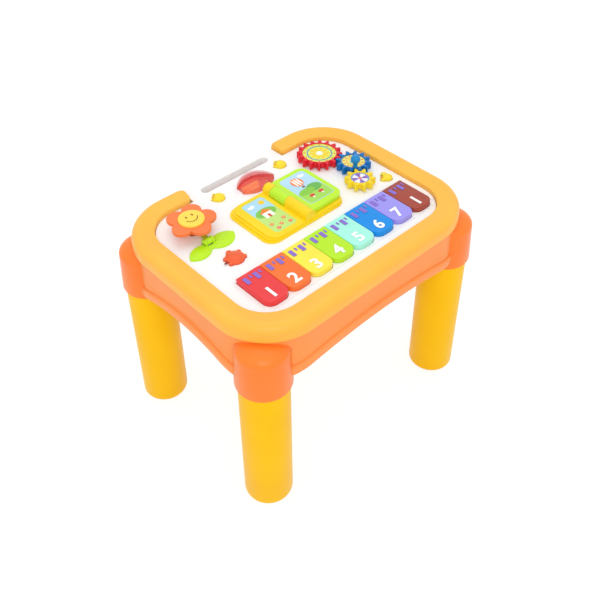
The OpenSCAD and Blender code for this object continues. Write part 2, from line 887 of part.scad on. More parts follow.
// Plates at both ends of the battery box, with a stub up to each cell
module battery_contacts() color("silver") {
    stub = box_x - cell_l / 2 - contact_t;
    for (s = [-1, 1], k = [0 : cell_count - 1]) {
        translate([s * (box_x - contact_t / 2), cell_y(k), cell_z])
            cube([contact_t, contact_w, contact_w], center = true);
        translate([s * (cell_l + stub) / 2, cell_y(k), cell_z]) rotate([0, 90, 0])
            cylinder(r = nub_r - 0.3, h = stub, center = true);
    }
}

module circuit_board() color("seagreen") {
    slab(board_z, board_z + board_t)
        translate([0, board_y]) square([board_l, board_w], center = true);
    for (chip = CHIPS)
        translate([chip[0], chip_y, board_z + board_t - eps]) cube([chip[1], chip[2], 2]);
}

module speaker() color("dimgray") {
    translate(speaker_at) {
        bar(speaker_r, floor_z, floor_z + 3);
        translate([0, 0, floor_z + 3 - eps]) cylinder(r1 = speaker_r - 3, r2 = 12, h = 6);
        bar(12, floor_z + 8, floor_z + speaker_h);
    }
}

module key_pivot_rod() color("silver") {
    key_rod();
}

module key_contact_mat() color("gainsboro") {
    z = board_z + board_t;
    slab(z, z + mat_t)
        translate([keys_x, plunger_y])
            square([(KEY_COUNT - 0.5) * key_pitch - 2 * mat_end, mat_w], center = true);
    for (i = [0 : KEY_COUNT - 1])
        translate([key_x(i), plunger_y, z + mat_t - eps])
            cylinder(r1 = dome_r, r2 = dome_r - 1.5, h = dome_h);
}

module button_domes() color("gainsboro") {
    for (p = towers_at()) translate(p) {
        bar(tower_r - 1, tower_top, tower_top + mat_t);
        translate([0, 0, tower_top + mat_t - eps])
            cylinder(r1 = dome_r, r2 = dome_r - 1.5, h = dome_h);
    }
}

// ---- Keys ----

// One key: a cap, hollow underneath, with a rear arm to the rod, a plunger and a stop
module key(i) color(KEY_COLOURS[i]) {
    x = key_x(i);
    arm_y = key_rear_y - key_wall;
    stop_z = plate_z - 0.3;
    difference() {
        union() {
            difference() {
                union() {
                    slab(key_foot, key_top - 1.5) key_plan(i);
                    slab(key_top - 1.5 - eps, key_top - 0.6) key_plan(i, -0.5);
                    slab(key_top - 0.6 - eps, key_top) key_plan(i, -1.2);
                }
                slab(key_foot - 1, key_top - key_wall) key_plan(i, -key_wall);
            }
            translate([x - knuckle_w / 2, arm_y, rod_z - knuckle_r])
                cube([knuckle_w, rod_y - arm_y, 2 * knuckle_r]);
            translate([x, rod_y, rod_z]) rotate([0, 90, 0])
                cylinder(r = knuckle_r, h = knuckle_w, center = true);
            translate([x, plunger_y]) bar(plunger_r, mat_top + plunger_gap, key_top - key_wall + eps);
            translate([x - key_stop_w / 2, key_front_y - key_play - key_stop_y, stop_z - key_stop_t])
                cube([key_stop_w, key_play + key_stop_y + key_wall, key_stop_t]);
        }
        translate([x, rod_y, rod_z]) rotate([0, 90, 0])
            cylinder(r = key_rod_r + running_play, h = knuckle_w + 2, center = true);
    }
}

// ---- Gears ----

// Plan of a gear, with one tooth in the direction turn
module gear_plan(pitch, teeth, turn) {
    root = pitch - tooth_in;
    tip = pitch + tooth_out;
    circle(root);
    for (k = [0 : teeth - 1])
        rotate(turn + 360 / teeth * k) {
            polygon([[root - 2, -tooth_half[0]], [pitch, -tooth_half[1]],
                [tip - tooth_half[2], -tooth_half[2]], [tip - tooth_half[2], tooth_half[2]],
                [pitch, tooth_half[1]], [root - 2, tooth_half[0]]]);
            translate([tip - tooth_half[2], 0]) circle(tooth_half[2]);
        }
}

function disc_r(pitch) = pitch - tooth_in - disc_rim;

// Gear on its axle, with a recess for its disc
module gear(at, pitch, teeth, turn) {
    translate(at) difference() {
        slab(gear_z, gear_top) gear_plan(pitch, teeth, turn);
        bar(axle_r + running_play, gear_z - 1, gear_top);
        bar(axle_head_r + 0.5, hub_floor, gear_top + 1);
        bar(disc_r(pitch), disc_z, gear_top + 1);
    }
}

module gear_disc(at, pitch) {
    translate(at) bar(disc_r(pitch), disc_z, disc_z + disc_t);
}

// Shoulder screws that the gears turn on
module gear_axles() color("silver") {
    for (p = [red_at, blue_at, yellow_at]) translate(p) {
        bar(axle_r - 1, plate_z - axle_thread, gear_z);
        bar(axle_r, gear_z - gear_rest, hub_floor + gear_rest + eps);
        bar(axle_head_r, hub_floor + gear_rest, hub_floor + gear_rest + axle_head_h);
    }
}

module red_gear() color("crimson") {
    gear(red_at, pitch_red, red_teeth, red_turn);
}

module red_gear_disc() color("khaki") {
    gear_disc(red_at, pitch_red);
}

module blue_gear() color("royalblue") {
    difference() {
        gear(blue_at, pitch_blue, blue_teeth, blue_turn);
        translate(knob_at) {
            bar(knob_post_r, disc_z, gear_top + 1);
            bar(knob_pin_r, disc_z - knob_pin_l, gear_top);
        }
    }
}

module blue_gear_disc() color("khaki") {
    difference() {
        gear_disc(blue_at, pitch_blue);
        translate(knob_at) bar(knob_post_r, gear_z, gear_top + 1);
    }
}

// Ball on a post, pressed into the blue gear off its middle
module crank_knob() color("dodgerblue") {
    translate(knob_at) {
        bar(knob_pin_r, disc_z - knob_pin_l, disc_z + eps);
        bar(knob_post_r, disc_z, gear_top + knob_rise);
        translate([0, 0, gear_top + knob_rise]) sphere(d = knob_d);
    }
}

module yellow_gear() color("gold") {
    gear(yellow_at, pitch_yellow, yellow_teeth, yellow_turn);
}

module yellow_gear_disc() color("lavender") {
    gear_disc(yellow_at, pitch_yellow);
}

// ---- Book ----

// Round bar along the spine between two places
module spine_bar(r, y0, y1) {
    translate([spine_x, y1, spine_z]) rotate([90, 0, 0]) cylinder(r = r, h = y1 - y0);
}

// Tray of three steps, with the spine's fixed ends
module book_tray() color("gold") {
    step_h = book_h / 3;
    ends = [[book_from[1] + spine_end, knuckle_y[0] - spine_gap],
        [knuckle_y[1] + spine_gap, book_to[1] - spine_end]];
    difference() {
        union() {
            for (k = [0 : 2])
                slab(panel_z + step_h * k - (k > 0 ? eps : 0), panel_z + step_h * (k + 1))
                    round_box(book_from + k * [book_step, 1.2], book_to - k * [0.6, 1.2],
                        book_corner - k);
            for (e = ends) {
                spine_bar(spine_r, e[0], e[1]);
                translate([spine_x - spine_r, e[0], panel_z])
                    cube([2 * spine_r, e[1] - e[0], spine_z - panel_z]);
            }
        }
        slab(panel_z + book_h - card_t - 0.4, panel_z + book_h + 1)
            round_box(left_card_from, left_card_to, card_corner);
        spine_bar(spine_r + spine_gap, knuckle_y[0] - spine_gap, knuckle_y[1] + spine_gap);
        spine_bar(spine_pin_r, book_from[1] + spine_end + 2, book_to[1] - spine_end - 2);
        slab(panel_z - 1, panel_z + book_h / 2)
            round_box([book_from[0] + 12, book_from[1] + 5], [spine_x - spine_r - 3, book_to[1] - 5], 5);
        slab(panel_z - 1, panel_z + book_h / 2)
            round_box([spine_x + spine_r + 3, book_from[1] + 5], book_to - [5, 5], 5);
    }
}

module spine_pin() color("silver") {
    spine_bar(spine_pin_r, book_from[1] + spine_end + 2, book_to[1] - spine_end - 2);
}

module left_page_card() color("palegreen") {
    slab(panel_z + book_h - card_t - 0.4, panel_z + book_h - 0.4)
        round_box(left_card_from, left_card_to, card_corner);
}

// Plan of the page that turns: round corners at its free edge
module page_plan() {
    r = page_corner;
    translate([page_x, page_y[0]]) square([page_to_x - page_x - r, page_y[1] - page_y[0]]);
    translate([page_to_x - r - 1, page_y[0] + r]) square([r + 1, page_y[1] - page_y[0] - 2 * r]);
    for (y = [page_y[0] + r, page_y[1] - r]) translate([page_to_x - r, y]) circle(r);
}

module book_page() color("greenyellow") {
    difference() {
        union() {
            slab(page_z, page_z + page_t) page_plan();
            spine_bar(spine_r, knuckle_y[0], knuckle_y[1]);
            translate([spine_x, knuckle_y[0], page_z])
                cube([page_x - spine_x + 1, knuckle_y[1] - knuckle_y[0], page_t]);
        }
        spine_bar(spine_pin_r + running_play, knuckle_y[0] - 1, knuckle_y[1] + 1);
        slab(page_z + page_t - card_t - 0.2, page_z + page_t + 1)
            round_box(right_card_from, right_card_to, card_corner);
    }
}

module right_page_card() color("lightskyblue") {
    slab(page_z + page_t - card_t - 0.2, page_z + page_t - 0.2)
        round_box(right_card_from, right_card_to, card_corner);
}

// ---- Lamp ----

module lamp_window() color("tomato") {
    dome_z = panel_z + window_h - window_bowl;
    difference() {
        union() {
            intersection() {
                slab(plate_z, panel_z + window_h) window_plan(0.2);
                translate([window_at[0], window_at[1], dome_z]) sphere(window_bowl, $fn = 180);
            }
            slab(plate_z - window_lip, plate_z) window_plan(-window_flange);
        }
        intersection() {
            slab(plate_z - window_lip - 1, panel_z + window_h) window_plan(0.2 + window_wall);
            translate([window_at[0], window_at[1], dome_z])
                sphere(window_bowl - window_wall, $fn = 180);
        }
    }
}

// Open box behind the window that holds the lamps
module lamp_reflector() color("white") {
    top = plate_z - window_lip;
    translate(window_at) difference() {
        slab(top - reflector_h, top) round_rect(reflector_l, reflector_w, 8);
        slab(top - reflector_h + window_wall, top + 1)
            round_rect(reflector_l - 2 * window_wall, reflector_w - 2 * window_wall, 6);
        for (p = LAMPS_AT) translate(p) bar(lamp_r, top - reflector_h - 1, top);
    }
}

// Bar and block that show through the window
module lamp_insert() color("goldenrod") {
    z = plate_z - window_lip - reflector_h + window_wall;
    translate(window_at) {
        slab(z, panel_z + 4) translate(INSERT_BAR[0]) square(INSERT_BAR[1]);
        slab(z, panel_z + 3) translate(INSERT_BLOCK[0]) square(INSERT_BLOCK[1]);
        slab(z, z + 2) translate(INSERT_FOOT[0]) square(INSERT_FOOT[1]);
    }
}

module lamps() color("lightyellow") {
    z = plate_z - window_lip - reflector_h;
    translate(window_at) for (p = LAMPS_AT) translate(p) {
        bar(lamp_r + 0.8, z - 1, z);
        bar(lamp_r, z - eps, z + 5);
        translate([0, 0, z + 5]) sphere(lamp_r);
    }
}

// ---- Flower ----

// Plan of a leaf: two arcs between two tips
module leaf_plan(l, w) {
    r = (l * l + w * w) / (4 * w);
    intersection() {
        translate([0, r - w / 2]) circle(r);
        translate([0, w / 2 - r]) circle(r);
    }
}

module leaves() color("greenyellow") {
    x = flower_at[0];
    difference() {
        union() {
            slab(panel_z, panel_z + leaf_t) {
                translate([x, pivot_y] + LEFT_LEAF_AT) rotate(10) leaf_plan(LEFT_LEAF[0], LEFT_LEAF[1]);
                translate([x, pivot_y] + RIGHT_LEAF_AT) rotate(8) leaf_plan(RIGHT_LEAF[0], RIGHT_LEAF[1]);
                translate([x, pivot_y - leaf_hub_back]) circle(leaf_hub_r);
            }
            for (s = [-1, 1]) translate([x + s * (stem_half_w + pivot_gap + ear_t / 2), 0, 0]) {
                translate([-ear_t / 2, pivot_y - pivot_r, panel_z])
                    cube([ear_t, 2 * pivot_r, pivot_rise]);
                translate([0, pivot_y, pivot_z]) rotate([0, 90, 0])
                    cylinder(r = pivot_r, h = ear_t, center = true);
            }
        }
        translate([x - stem_half_w - pivot_gap, pivot_y - pivot_r - 1, panel_z - 1])
            cube([2 * (stem_half_w + pivot_gap), 40, 30]);
        flower_pin();
    }
}

module flower_pin(r = pivot_pin_r) {
    translate([flower_at[0], pivot_y, pivot_z]) rotate([0, 90, 0])
        cylinder(r = r, h = 2 * (stem_half_w + pivot_gap + ear_t), center = true);
}

module flower_pivot_pin() color("silver") {
    flower_pin();
}

// Five petals and, under them, the post that presses the switch
module flower_petals() color("darkorange") {
    translate(flower_at) {
        slab(petal_z, petal_z + petal_t) {
            circle(face_d / 2 + 1);
            for (k = [0 : 4]) rotate(72 * k - 90) translate([petal_reach, 0]) circle(petal_r);
        }
        bar(flower_post_r, mat_top + plunger_gap, petal_z + eps);
    }
}

module flower_face() color("khaki") {
    translate(flower_at) {
        bar(face_d / 2, petal_z + petal_t, petal_z + petal_t + face_t - 1);
        bar(face_d / 2 - 1, petal_z + petal_t + face_t - 1 - eps, petal_z + petal_t + face_t);
    }
}

// Stem from the pivot up to the petals
module flower_stem() color("yellowgreen") {
    rise = petal_z - pivot_z;
    run = pivot_back - flower_post_r - 2;
    difference() {
        union() {
            translate([flower_at[0], pivot_y, pivot_z]) {
                rotate([0, 90, 0]) cylinder(r = pivot_r, h = 2 * stem_half_w, center = true);
                rotate([-atan2(run, rise), 0, 0]) cylinder(r = stem_r - 0.5, h = norm([run, rise]) + 8);
            }
        }
        translate([flower_at[0], pivot_y, pivot_z]) rotate([0, 90, 0])
            cylinder(r = pivot_pin_r + running_play, h = 20, center = true);
        translate([flower_at[0] - 20, pivot_y, petal_z]) cube([40, 60, 30]);
        translate(flower_at) bar(flower_post_r, panel_z - 20, petal_z + 30);
    }
}

// ---- Buttons ----

// Push button: a skirt in the panel's hole, a flange under it and a post
module push_button(k, at) {
    flange_z = plate_z - button_flange_t - 0.1;
    slab(flange_z, panel_z + button_skirt_h) button_plan(k);
    slab(flange_z, flange_z + button_flange_t) button_plan(k, button_flange);
    translate(at) bar(button_post_r, button_post_z, flange_z + eps);
}

// Round cap of radius r and height h on a button's skirt
module cap(r, h) {
    bowl = (r * r + h * h) / (2 * h);
    translate([0, 0, panel_z + button_skirt_h - eps]) intersection() {
        translate([0, 0, h - bowl]) sphere(bowl);
        bar(r + 1, 0, h);
    }
}

module beetle_button() color("orangered") {
    push_button(0, beetle_at);
    translate(beetle_at) cap(beetle_r - cap_step, button_proud - button_skirt_h);
}

module chick_button(k, at) color("gold") {
    push_button(k, at);
    translate(at) cap(chick_r - cap_step, button_proud - button_skirt_h);
}

module bird_button() color("gold") {
    difference() {
        push_button(3, bird_at);
        rod_bracket(rod_ends()[1], bracket_clear);
    }
    translate(bird_at) cap(bird_r - cap_step, button_proud - button_skirt_h - 1);
    translate(bird_at + BIRD_HEAD) cap(bird_head_r - cap_step, 2);
}

module power_switch() color("gray") {
    translate([switch_at[0] - switch_travel / 2, switch_at[1]]) {
        slab(base_z - 1, floor_z + 0.3) square([switch_l, switch_w], center = true);
        slab(floor_z + 0.3 - eps, floor_z + 1.8)
            square([switch_travel + switch_l + 8, switch_w + 3], center = true);
    }
}

table_rim();
apron();
for (i = [0 : 3]) {
    leg_socket(i);
    leg(i);
}
frame_screws();
panel_top();
panel_base();
panel_screws();
battery_door();
battery_cells();
battery_contacts();
circuit_board();
speaker();
key_pivot_rod();
key_contact_mat();
button_domes();
book_tray();
spine_pin();
left_page_card();
gear_axles();
lamp_window();
lamp_reflector();
lamp_insert();
lamps();
leaves();
flower_pivot_pin();
for (i = [0 : KEY_COUNT - 1])
    key(i);
red_gear();
red_gear_disc();
blue_gear();
blue_gear_disc();
crank_knob();
yellow_gear();
yellow_gear_disc();
book_page();
right_page_card();
flower_petals();
flower_face();
flower_stem();
beetle_button();
chick_button(1, left_chick_at);  // left_chick_button
chick_button(2, right_chick_at);  // right_chick_button
bird_button();
power_switch();
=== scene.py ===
"""Looks of a musical activity table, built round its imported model."""

import json
import math
from types import SimpleNamespace

import bmesh
import bpy
from bpy.props import FloatProperty, FloatVectorProperty, PointerProperty
from mathutils import Matrix, Vector


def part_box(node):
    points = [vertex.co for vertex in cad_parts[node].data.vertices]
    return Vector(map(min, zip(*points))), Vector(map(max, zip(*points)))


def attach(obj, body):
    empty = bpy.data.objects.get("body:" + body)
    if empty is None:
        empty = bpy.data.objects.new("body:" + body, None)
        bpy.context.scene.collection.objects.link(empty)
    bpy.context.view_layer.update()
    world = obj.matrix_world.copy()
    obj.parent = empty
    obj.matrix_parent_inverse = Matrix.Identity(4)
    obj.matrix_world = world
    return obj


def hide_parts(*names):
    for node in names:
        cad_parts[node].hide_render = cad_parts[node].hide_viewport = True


bl_info = {
    "name": "Musical Activity Table",
    "version": (1, 0, 0),
    "blender": (4, 5, 0),
    "location": "3D View > Sidebar > Activity Table",
    "description": "Dresses the packed model of a musical activity table",
    "category": "Object",
}

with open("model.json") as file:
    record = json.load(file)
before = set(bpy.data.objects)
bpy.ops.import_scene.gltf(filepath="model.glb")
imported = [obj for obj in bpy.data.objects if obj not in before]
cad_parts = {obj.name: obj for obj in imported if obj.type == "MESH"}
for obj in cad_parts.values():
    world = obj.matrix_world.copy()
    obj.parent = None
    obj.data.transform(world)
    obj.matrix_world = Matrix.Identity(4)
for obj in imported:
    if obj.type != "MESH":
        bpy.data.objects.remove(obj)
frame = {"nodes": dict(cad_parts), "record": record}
NODES = frame["nodes"]
BODIES = frame["record"]["behaviour"]["bodies"]
BODY_OF = {node: body for body, nodes in BODIES.items() for node in nodes}
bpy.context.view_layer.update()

MM = 0.001
PHOTO_PIXELS = 595
SENSOR = 36.0
# In millimetres: a socket's roof, a leg's play under it, how near points are joined, the edge of a
# cutter, and how deep printed marks sit in the surface that carries them
SOCKET_ROOF = 3.5
LEG_PLAY = 0.2
WELD = 1e-3
SQUARE = 0.01
SUNK = 0.02
CORNERS = ((-1, -1, "front_left"), (1, -1, "front_right"), (-1, 1, "rear_left"), (1, 1, "rear_right"))
KEY_COUNT = 8
WHITE = (1, 1, 1, 1)
SHARP = math.radians(38)
QUARTER = math.pi / 2


# ---- What a user would change ----


def paint(name, about, *rgb):
    """A colour property, given as 0 to 255."""
    return FloatVectorProperty(
        name=name, description=about, subtype="COLOR_GAMMA", size=3, min=0, max=1,
        default=[part / 255 for part in rgb])


def length(name, about, millimetres):
    """A length property, given in millimetres."""
    return FloatProperty(
        name=name, description=about, subtype="DISTANCE", unit="LENGTH", min=0,
        default=millimetres * MM)


class TableColours(bpy.types.PropertyGroup):
    # The rim, skirt and sockets are one orange plastic: the rim's lighter tone is painted light from above, the
    # sockets' deeper tone is painted shade.
    rim: paint("Rim", "Colour of the rim", 255, 190, 72)
    skirt: paint("Skirt", "Colour of the skirt under the rim", 255, 156, 80)
    socket: paint("Sockets", "Colour of the corner sockets", 255, 134, 46)
    leg: paint("Legs", "Colour of the legs", 255, 202, 0)
    panel: paint("Panel", "Colour of the play panel", 250, 250, 250)
    base: paint("Base", "Colour of the shell under the play panel", 240, 240, 238)
    petal: paint("Petals", "Colour of the flower's petals", 250, 128, 70)
    face: paint("Face", "Colour of the flower's face", 255, 222, 84)
    leaf: paint("Leaves", "Colour of the leaves", 190, 240, 34)
    stem: paint("Stem", "Colour of the flower's stem", 168, 178, 30)
    beetle: paint("Beetle", "Colour of the beetle-shaped button", 240, 98, 52)
    chick: paint("Chicks", "Colour of the chick and bird buttons", 248, 222, 50)
    tray: paint("Book", "Colour of the book's tray", 255, 216, 22)
    page: paint("Page", "Colour of the page that turns", 194, 242, 48)
    window: paint("Window", "Colour of the lamp window", 232, 22, 34)
    red_gear: paint("Red gear", "Colour of the red gear", 228, 32, 50)
    blue_gear: paint("Blue gear", "Colour of the blue gear", 0, 112, 190)
    yellow_gear: paint("Yellow gear", "Colour of the yellow gear", 252, 222, 42)
    key_1: paint("Key 1", "Colour of the first key", 238, 62, 66)
    key_2: paint("Key 2", "Colour of the second key", 250, 118, 48)
    key_3: paint("Key 3", "Colour of the third key", 252, 236, 74)
    key_4: paint("Key 4", "Colour of the fourth key", 186, 236, 34)
    key_5: paint("Key 5", "Colour of the fifth key", 168, 246, 226)
    key_6: paint("Key 6", "Colour of the sixth key", 0, 142, 232)
    key_7: paint("Key 7", "Colour of the seventh key", 160, 152, 242)
    key_8: paint("Key 8", "Colour of the eighth key", 164, 70, 54)
    key_print: paint("Key bars", "Colour of the bars printed on the keys", 140, 112, 208)


class TableSizes(bpy.types.PropertyGroup):
    rim_band: length("Rim band", "Width of the rim's band", 33)
    rim_corner: length("Rim corner", "Corner radius inside the rim", 52)
    rim_round: length("Rim rounding", "Radius of the rim's outer edge", 13)
    gap: length("Gap", "Length of the gap in the rim behind the handle", 176)
    skirt_out: length("Skirt", "Distance of the skirt from the rim's inner wall", 28)
    skirt_wall: length("Skirt wall", "Thickness of the skirt", 2.8)
    socket_taper: length("Socket taper", "How much narrower a socket is at the foot of its dome", 2.3)
    socket_dome: length("Socket dome", "Height of the sockets' dome", 17)
    lip_h: length("Lip height", "Height of the lip along the skirt", 14)
    lip_out: length("Lip reach", "How far the lip stands out", 4.5)
    long_rise: length("Long arch", "Rise of the long sides' arch", 15)
    short_rise: length("Short arch", "Rise of the short sides' arch", 20)
    key_front: length("Key front", "Distance of the keys' front edge from the table's middle", 111)
    key_rear: length("Key rear", "Distance of the keys' rear edge from the table's middle", 46)
    key_corner: length("Key corner", "Front corner radius of a key", 13)
    softness: length("Softness", "Radius of a moulded edge", 0.6)
    print_t: length("Print", "Thickness of printed marks", 0.15)


def sizes():
    """The lengths in TableSizes, in millimetres."""
    group = bpy.context.scene.table_sizes
    return SimpleNamespace(**{name: getattr(group, name) / MM for name in TableSizes.__annotations__})


def tint(name):
    """A colour of TableColours, as the shaders take it."""
    return linear(getattr(bpy.context.scene.table_colours, name))


def linear(rgb):
    """Display colour to scene colour, with alpha."""
    return [c / 12.92 if c <= 0.04045 else ((c + 0.055) / 1.055) ** 2.4 for c in rgb] + [1.0]


def shade(*rgb):
    """Scene colour from 0 to 255 display values."""
    return linear([part / 255 for part in rgb])


# ---- Materials ----


def set_inputs(node, **values):
    """Sets a node's sockets; an underscore in a name stands for a blank."""
    for name, value in values.items():
        node.inputs[name.replace("_", " ")].default_value = value


def new_group(name, inputs, outputs):
    """Empty shader node group with float sockets; inputs are (name, value)."""
    group = bpy.data.node_groups.new(name, "ShaderNodeTree")
    for label, value in inputs:
        group.interface.new_socket(label, in_out="INPUT", socket_type="NodeSocketFloat").default_value = value
    for label in outputs:
        group.interface.new_socket(label, in_out="OUTPUT", socket_type="NodeSocketFloat")
    start = group.nodes.new("NodeGroupInput")
    end = group.nodes.new("NodeGroupOutput")
    return group, start, end


def moulded_grain():
    """Group: fine texture and slow unevenness of moulded plastic."""
    group = bpy.data.node_groups.get("moulded_grain")
    if group:
        return group
    group, start, end = new_group(
        "moulded_grain", [("Fineness", 900.0), ("Patchiness", 14.0)], ["Height", "Tone"])
    place = group.nodes.new("ShaderNodeTexCoord")
    for socket, out, detail in (("Fineness", "Height", 2.0), ("Patchiness", "Tone", 3.0)):
        noise = group.nodes.new("ShaderNodeTexNoise")
        set_inputs(noise, Detail=detail)
        group.links.new(place.outputs["Object"], noise.inputs["Vector"])
        group.links.new(start.outputs[socket], noise.inputs["Scale"])
        group.links.new(noise.outputs["Fac"], end.inputs[out])
    return group


def handled_dust():
    """Group: faint greasy smears that change how a handled surface shines."""
    group = bpy.data.node_groups.get("handled_dust")
    if group:
        return group
    group, start, end = new_group("handled_dust", [("Amount", 0.1), ("Base", 0.25)], ["Roughness"])
    place = group.nodes.new("ShaderNodeTexCoord")
    smear = group.nodes.new("ShaderNodeTexNoise")
    set_inputs(smear, Scale=38.0, Detail=4.0, Distortion=0.8)
    scale = group.nodes.new("ShaderNodeMath")
    scale.operation = "MULTIPLY"
    add = group.nodes.new("ShaderNodeMath")
    add.operation = "ADD"
    link = group.links.new
    link(place.outputs["Object"], smear.inputs["Vector"])
    link(smear.outputs["Fac"], scale.inputs[0])
    link(start.outputs["Amount"], scale.inputs[1])
    link(scale.outputs[0], add.inputs[0])
    link(start.outputs["Base"], add.inputs[1])
    link(add.outputs[0], end.inputs["Roughness"])
    return group


def plastic(name, colour, roughness=0.22, mottle=0.035, grain=0.00004, patch=14.0, shine=0.3):
    """Moulded plastic: slow changes of tone, fine grain and faint smears."""
    made = bpy.data.materials.get(name)
    if made:
        return made
    made = bpy.data.materials.new(name)
    made.use_nodes = True
    tree = made.node_tree
    shader = tree.nodes["Principled BSDF"]
    set_inputs(shader, IOR=1.5, Specular_IOR_Level=shine)
    texture = tree.nodes.new("ShaderNodeGroup")
    texture.node_tree = moulded_grain()
    set_inputs(texture, Patchiness=patch)
    ramp = tree.nodes.new("ShaderNodeValToRGB")
    for stop, at, tone in zip(ramp.color_ramp.elements, (0.3, 0.7), (1 - mottle, 1 + mottle)):
        stop.position = at
        stop.color = [min(1, part * tone) for part in colour[:3]] + [1]
    smears = tree.nodes.new("ShaderNodeGroup")
    smears.node_tree = handled_dust()
    set_inputs(smears, Base=roughness)
    bump = tree.nodes.new("ShaderNodeBump")
    set_inputs(bump, Strength=0.6, Distance=grain)
    link = tree.links.new
    link(texture.outputs["Tone"], ramp.inputs["Fac"])
    link(ramp.outputs["Color"], shader.inputs["Base Color"])
    link(smears.outputs["Roughness"], shader.inputs["Roughness"])
    link(texture.outputs["Height"], bump.inputs["Height"])
    link(bump.outputs["Normal"], shader.inputs["Normal"])
    return made


def metal(name, colour, roughness):
    """Plated steel with fine scratches."""
    made = plastic(name, colour, roughness, mottle=0.06, grain=0.00003, patch=60.0)
    set_inputs(made.node_tree.nodes["Principled BSDF"], Metallic=1.0)
    return made


def tinted_window(name, colour):
    """See-through coloured plastic."""
    made = plastic(name, colour, 0.06, mottle=0.02, grain=0.00001)
    set_inputs(made.node_tree.nodes["Principled BSDF"], Alpha=0.3)
    return made


def painted_glow(made, strength):
    """The same plastic with painted glow: emission on a part that is no lamp, standing in for the light of the
    lamps near it.
    """
    set_inputs(
        made.node_tree.nodes["Principled BSDF"],
        Emission_Color=shade(255, 214, 190), Emission_Strength=strength)
    return made


def rubber(name, colour):
    """Silicone rubber: dull and a little powdery."""
    return plastic(name, colour, 0.6, mottle=0.05, grain=0.00008)


# ---- Shapes, in millimetres ----


def extent(node):
    """Lowest and highest corner of a CAD node, in millimetres."""
    low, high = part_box(node)
    return low / MM, high / MM


def only(kind, geom):
    """The vertices, the edges or the faces among what an operator returns."""
    return [made for made in geom if isinstance(made, kind)]


def shift(bm, x=0.0, y=0.0, z=0.0):
    """Moves a whole shape."""
    bmesh.ops.translate(bm, verts=bm.verts, vec=(x, y, z))


def swivel(bm, angle, axis="Z"):
    """Turns a whole shape about an axis through the origin, by an angle in radians."""
    bmesh.ops.rotate(bm, verts=bm.verts, cent=(0, 0, 0), matrix=Matrix.Rotation(angle, 3, axis))


def spin_about_z(bm, geom, angle, steps, centre=(0, 0), close=False):
    """Spins vertices and edges about an upright axis and returns the last ones."""
    made = bmesh.ops.spin(
        bm, geom=geom, cent=(*centre, 0), axis=(0, 0, 1), angle=angle, steps=steps, use_merge=close)
    return made["geom_last"]


def add_object(name, data):
    """New object in the scene."""
    obj = bpy.data.objects.new(name, data)
    bpy.context.scene.collection.objects.link(obj)
    return obj


def finished_mesh(obj):
    """New mesh of an object's text or of its mesh with modifiers."""
    bpy.context.view_layer.update()
    return bpy.data.meshes.new_from_object(obj.evaluated_get(bpy.context.evaluated_depsgraph_get()))


def metre_mesh(name, bm):
    """Mesh of a shape in millimetres, with its faces outwards; the shape is used up."""
    bmesh.ops.recalc_face_normals(bm, faces=bm.faces)
    bmesh.ops.scale(bm, verts=bm.verts, vec=(MM, MM, MM))
    mesh = bpy.data.meshes.new(name)
    bm.to_mesh(mesh)
    bm.free()
    return mesh


def smooth(mesh):
    """Smooth shading with creases at the sharp edges."""
    mesh.shade_smooth()
    mesh.set_sharp_from_angle(angle=SHARP)


def rounded_outline(corners, fineness=1.4):
    """Flat face in a new bmesh, its corners (x, y, radius) rounded."""
    bm = bmesh.new()
    verts = [bm.verts.new((x, y, 0)) for x, y, _ in corners]
    bm.faces.new(verts)
    for i, (x, y, radius) in enumerate(corners):
        if radius > 0:
            here = Vector((x, y))
            before = Vector(corners[i - 1][:2]) - here
            after = Vector(corners[(i + 1) % len(corners)][:2]) - here
            bmesh.ops.bevel(
                bm, geom=[verts[i]], offset=radius / math.tan(before.angle(after) / 2),
                offset_type="OFFSET", segments=max(4, int(radius / fineness)), profile=0.5,
                affect="VERTICES", material=-1)
    return bm


def rounded_rectangle(x0, y0, x1, y1, radius):
    """Flat rectangle with round corners in a new bmesh."""
    return rounded_outline([(x0, y0, radius), (x1, y0, radius), (x1, y1, radius), (x0, y1, radius)])


def disc(radius, x=0.0, y=0.0, segments=72):
    """Flat round face in a new bmesh."""
    bm = bmesh.new()
    bmesh.ops.create_circle(bm, cap_ends=True, radius=radius, segments=segments)
    shift(bm, x, y)
    return bm


def oval(across, along, x=0.0, y=0.0, turn=0.0, segments=40):
    """Flat oval face in a new bmesh, its longer way turned by an angle in degrees."""
    bm = disc(1, segments=segments)
    bmesh.ops.scale(bm, verts=bm.verts, vec=(across, along, 1))
    swivel(bm, math.radians(turn))
    shift(bm, x, y)
    return bm


def sector(inner, outer, x, y, start, sweep, steps=10):
    """Flat piece of a ring in a new bmesh; angles in degrees."""
    bm = bmesh.new()
    bm.edges.new([bm.verts.new((inner, 0, 0)), bm.verts.new((outer, 0, 0))])
    swivel(bm, math.radians(start))
    spin_about_z(bm, bm.verts[:] + bm.edges[:], math.radians(sweep), steps, close=sweep == 360)
    bmesh.ops.remove_doubles(bm, verts=bm.verts, dist=WELD)
    shift(bm, x, y)
    return bm


def level_edges(bm, z):
    """Edges at height z between a level face and a steeper one."""
    return [
        edge for edge in bm.edges
        if len(edge.link_faces) == 2
        and all(abs(vert.co.z - z) < 1e-3 for vert in edge.verts)
        and sum(abs(face.normal.z) > 0.99 for face in edge.link_faces) == 1]


def lift(bm, z0, z1, soft=0.0, segments=3):
    """Makes a slab between z0 and z1 of the flat faces, with a rounded upper rim."""
    shift(bm, z=z0)
    raised = bmesh.ops.extrude_face_region(bm, geom=bm.faces[:])["geom"]
    bmesh.ops.translate(bm, verts=only(bmesh.types.BMVert, raised), vec=(0, 0, z1 - z0))
    bmesh.ops.recalc_face_normals(bm, faces=bm.faces)
    bm.normal_update()
    if soft:
        bmesh.ops.bevel(
            bm, geom=level_edges(bm, z1), offset=soft, offset_type="OFFSET", segments=segments,
            profile=0.5, affect="EDGES", material=-1, clamp_overlap=True)
        bm.normal_update()
    return bm


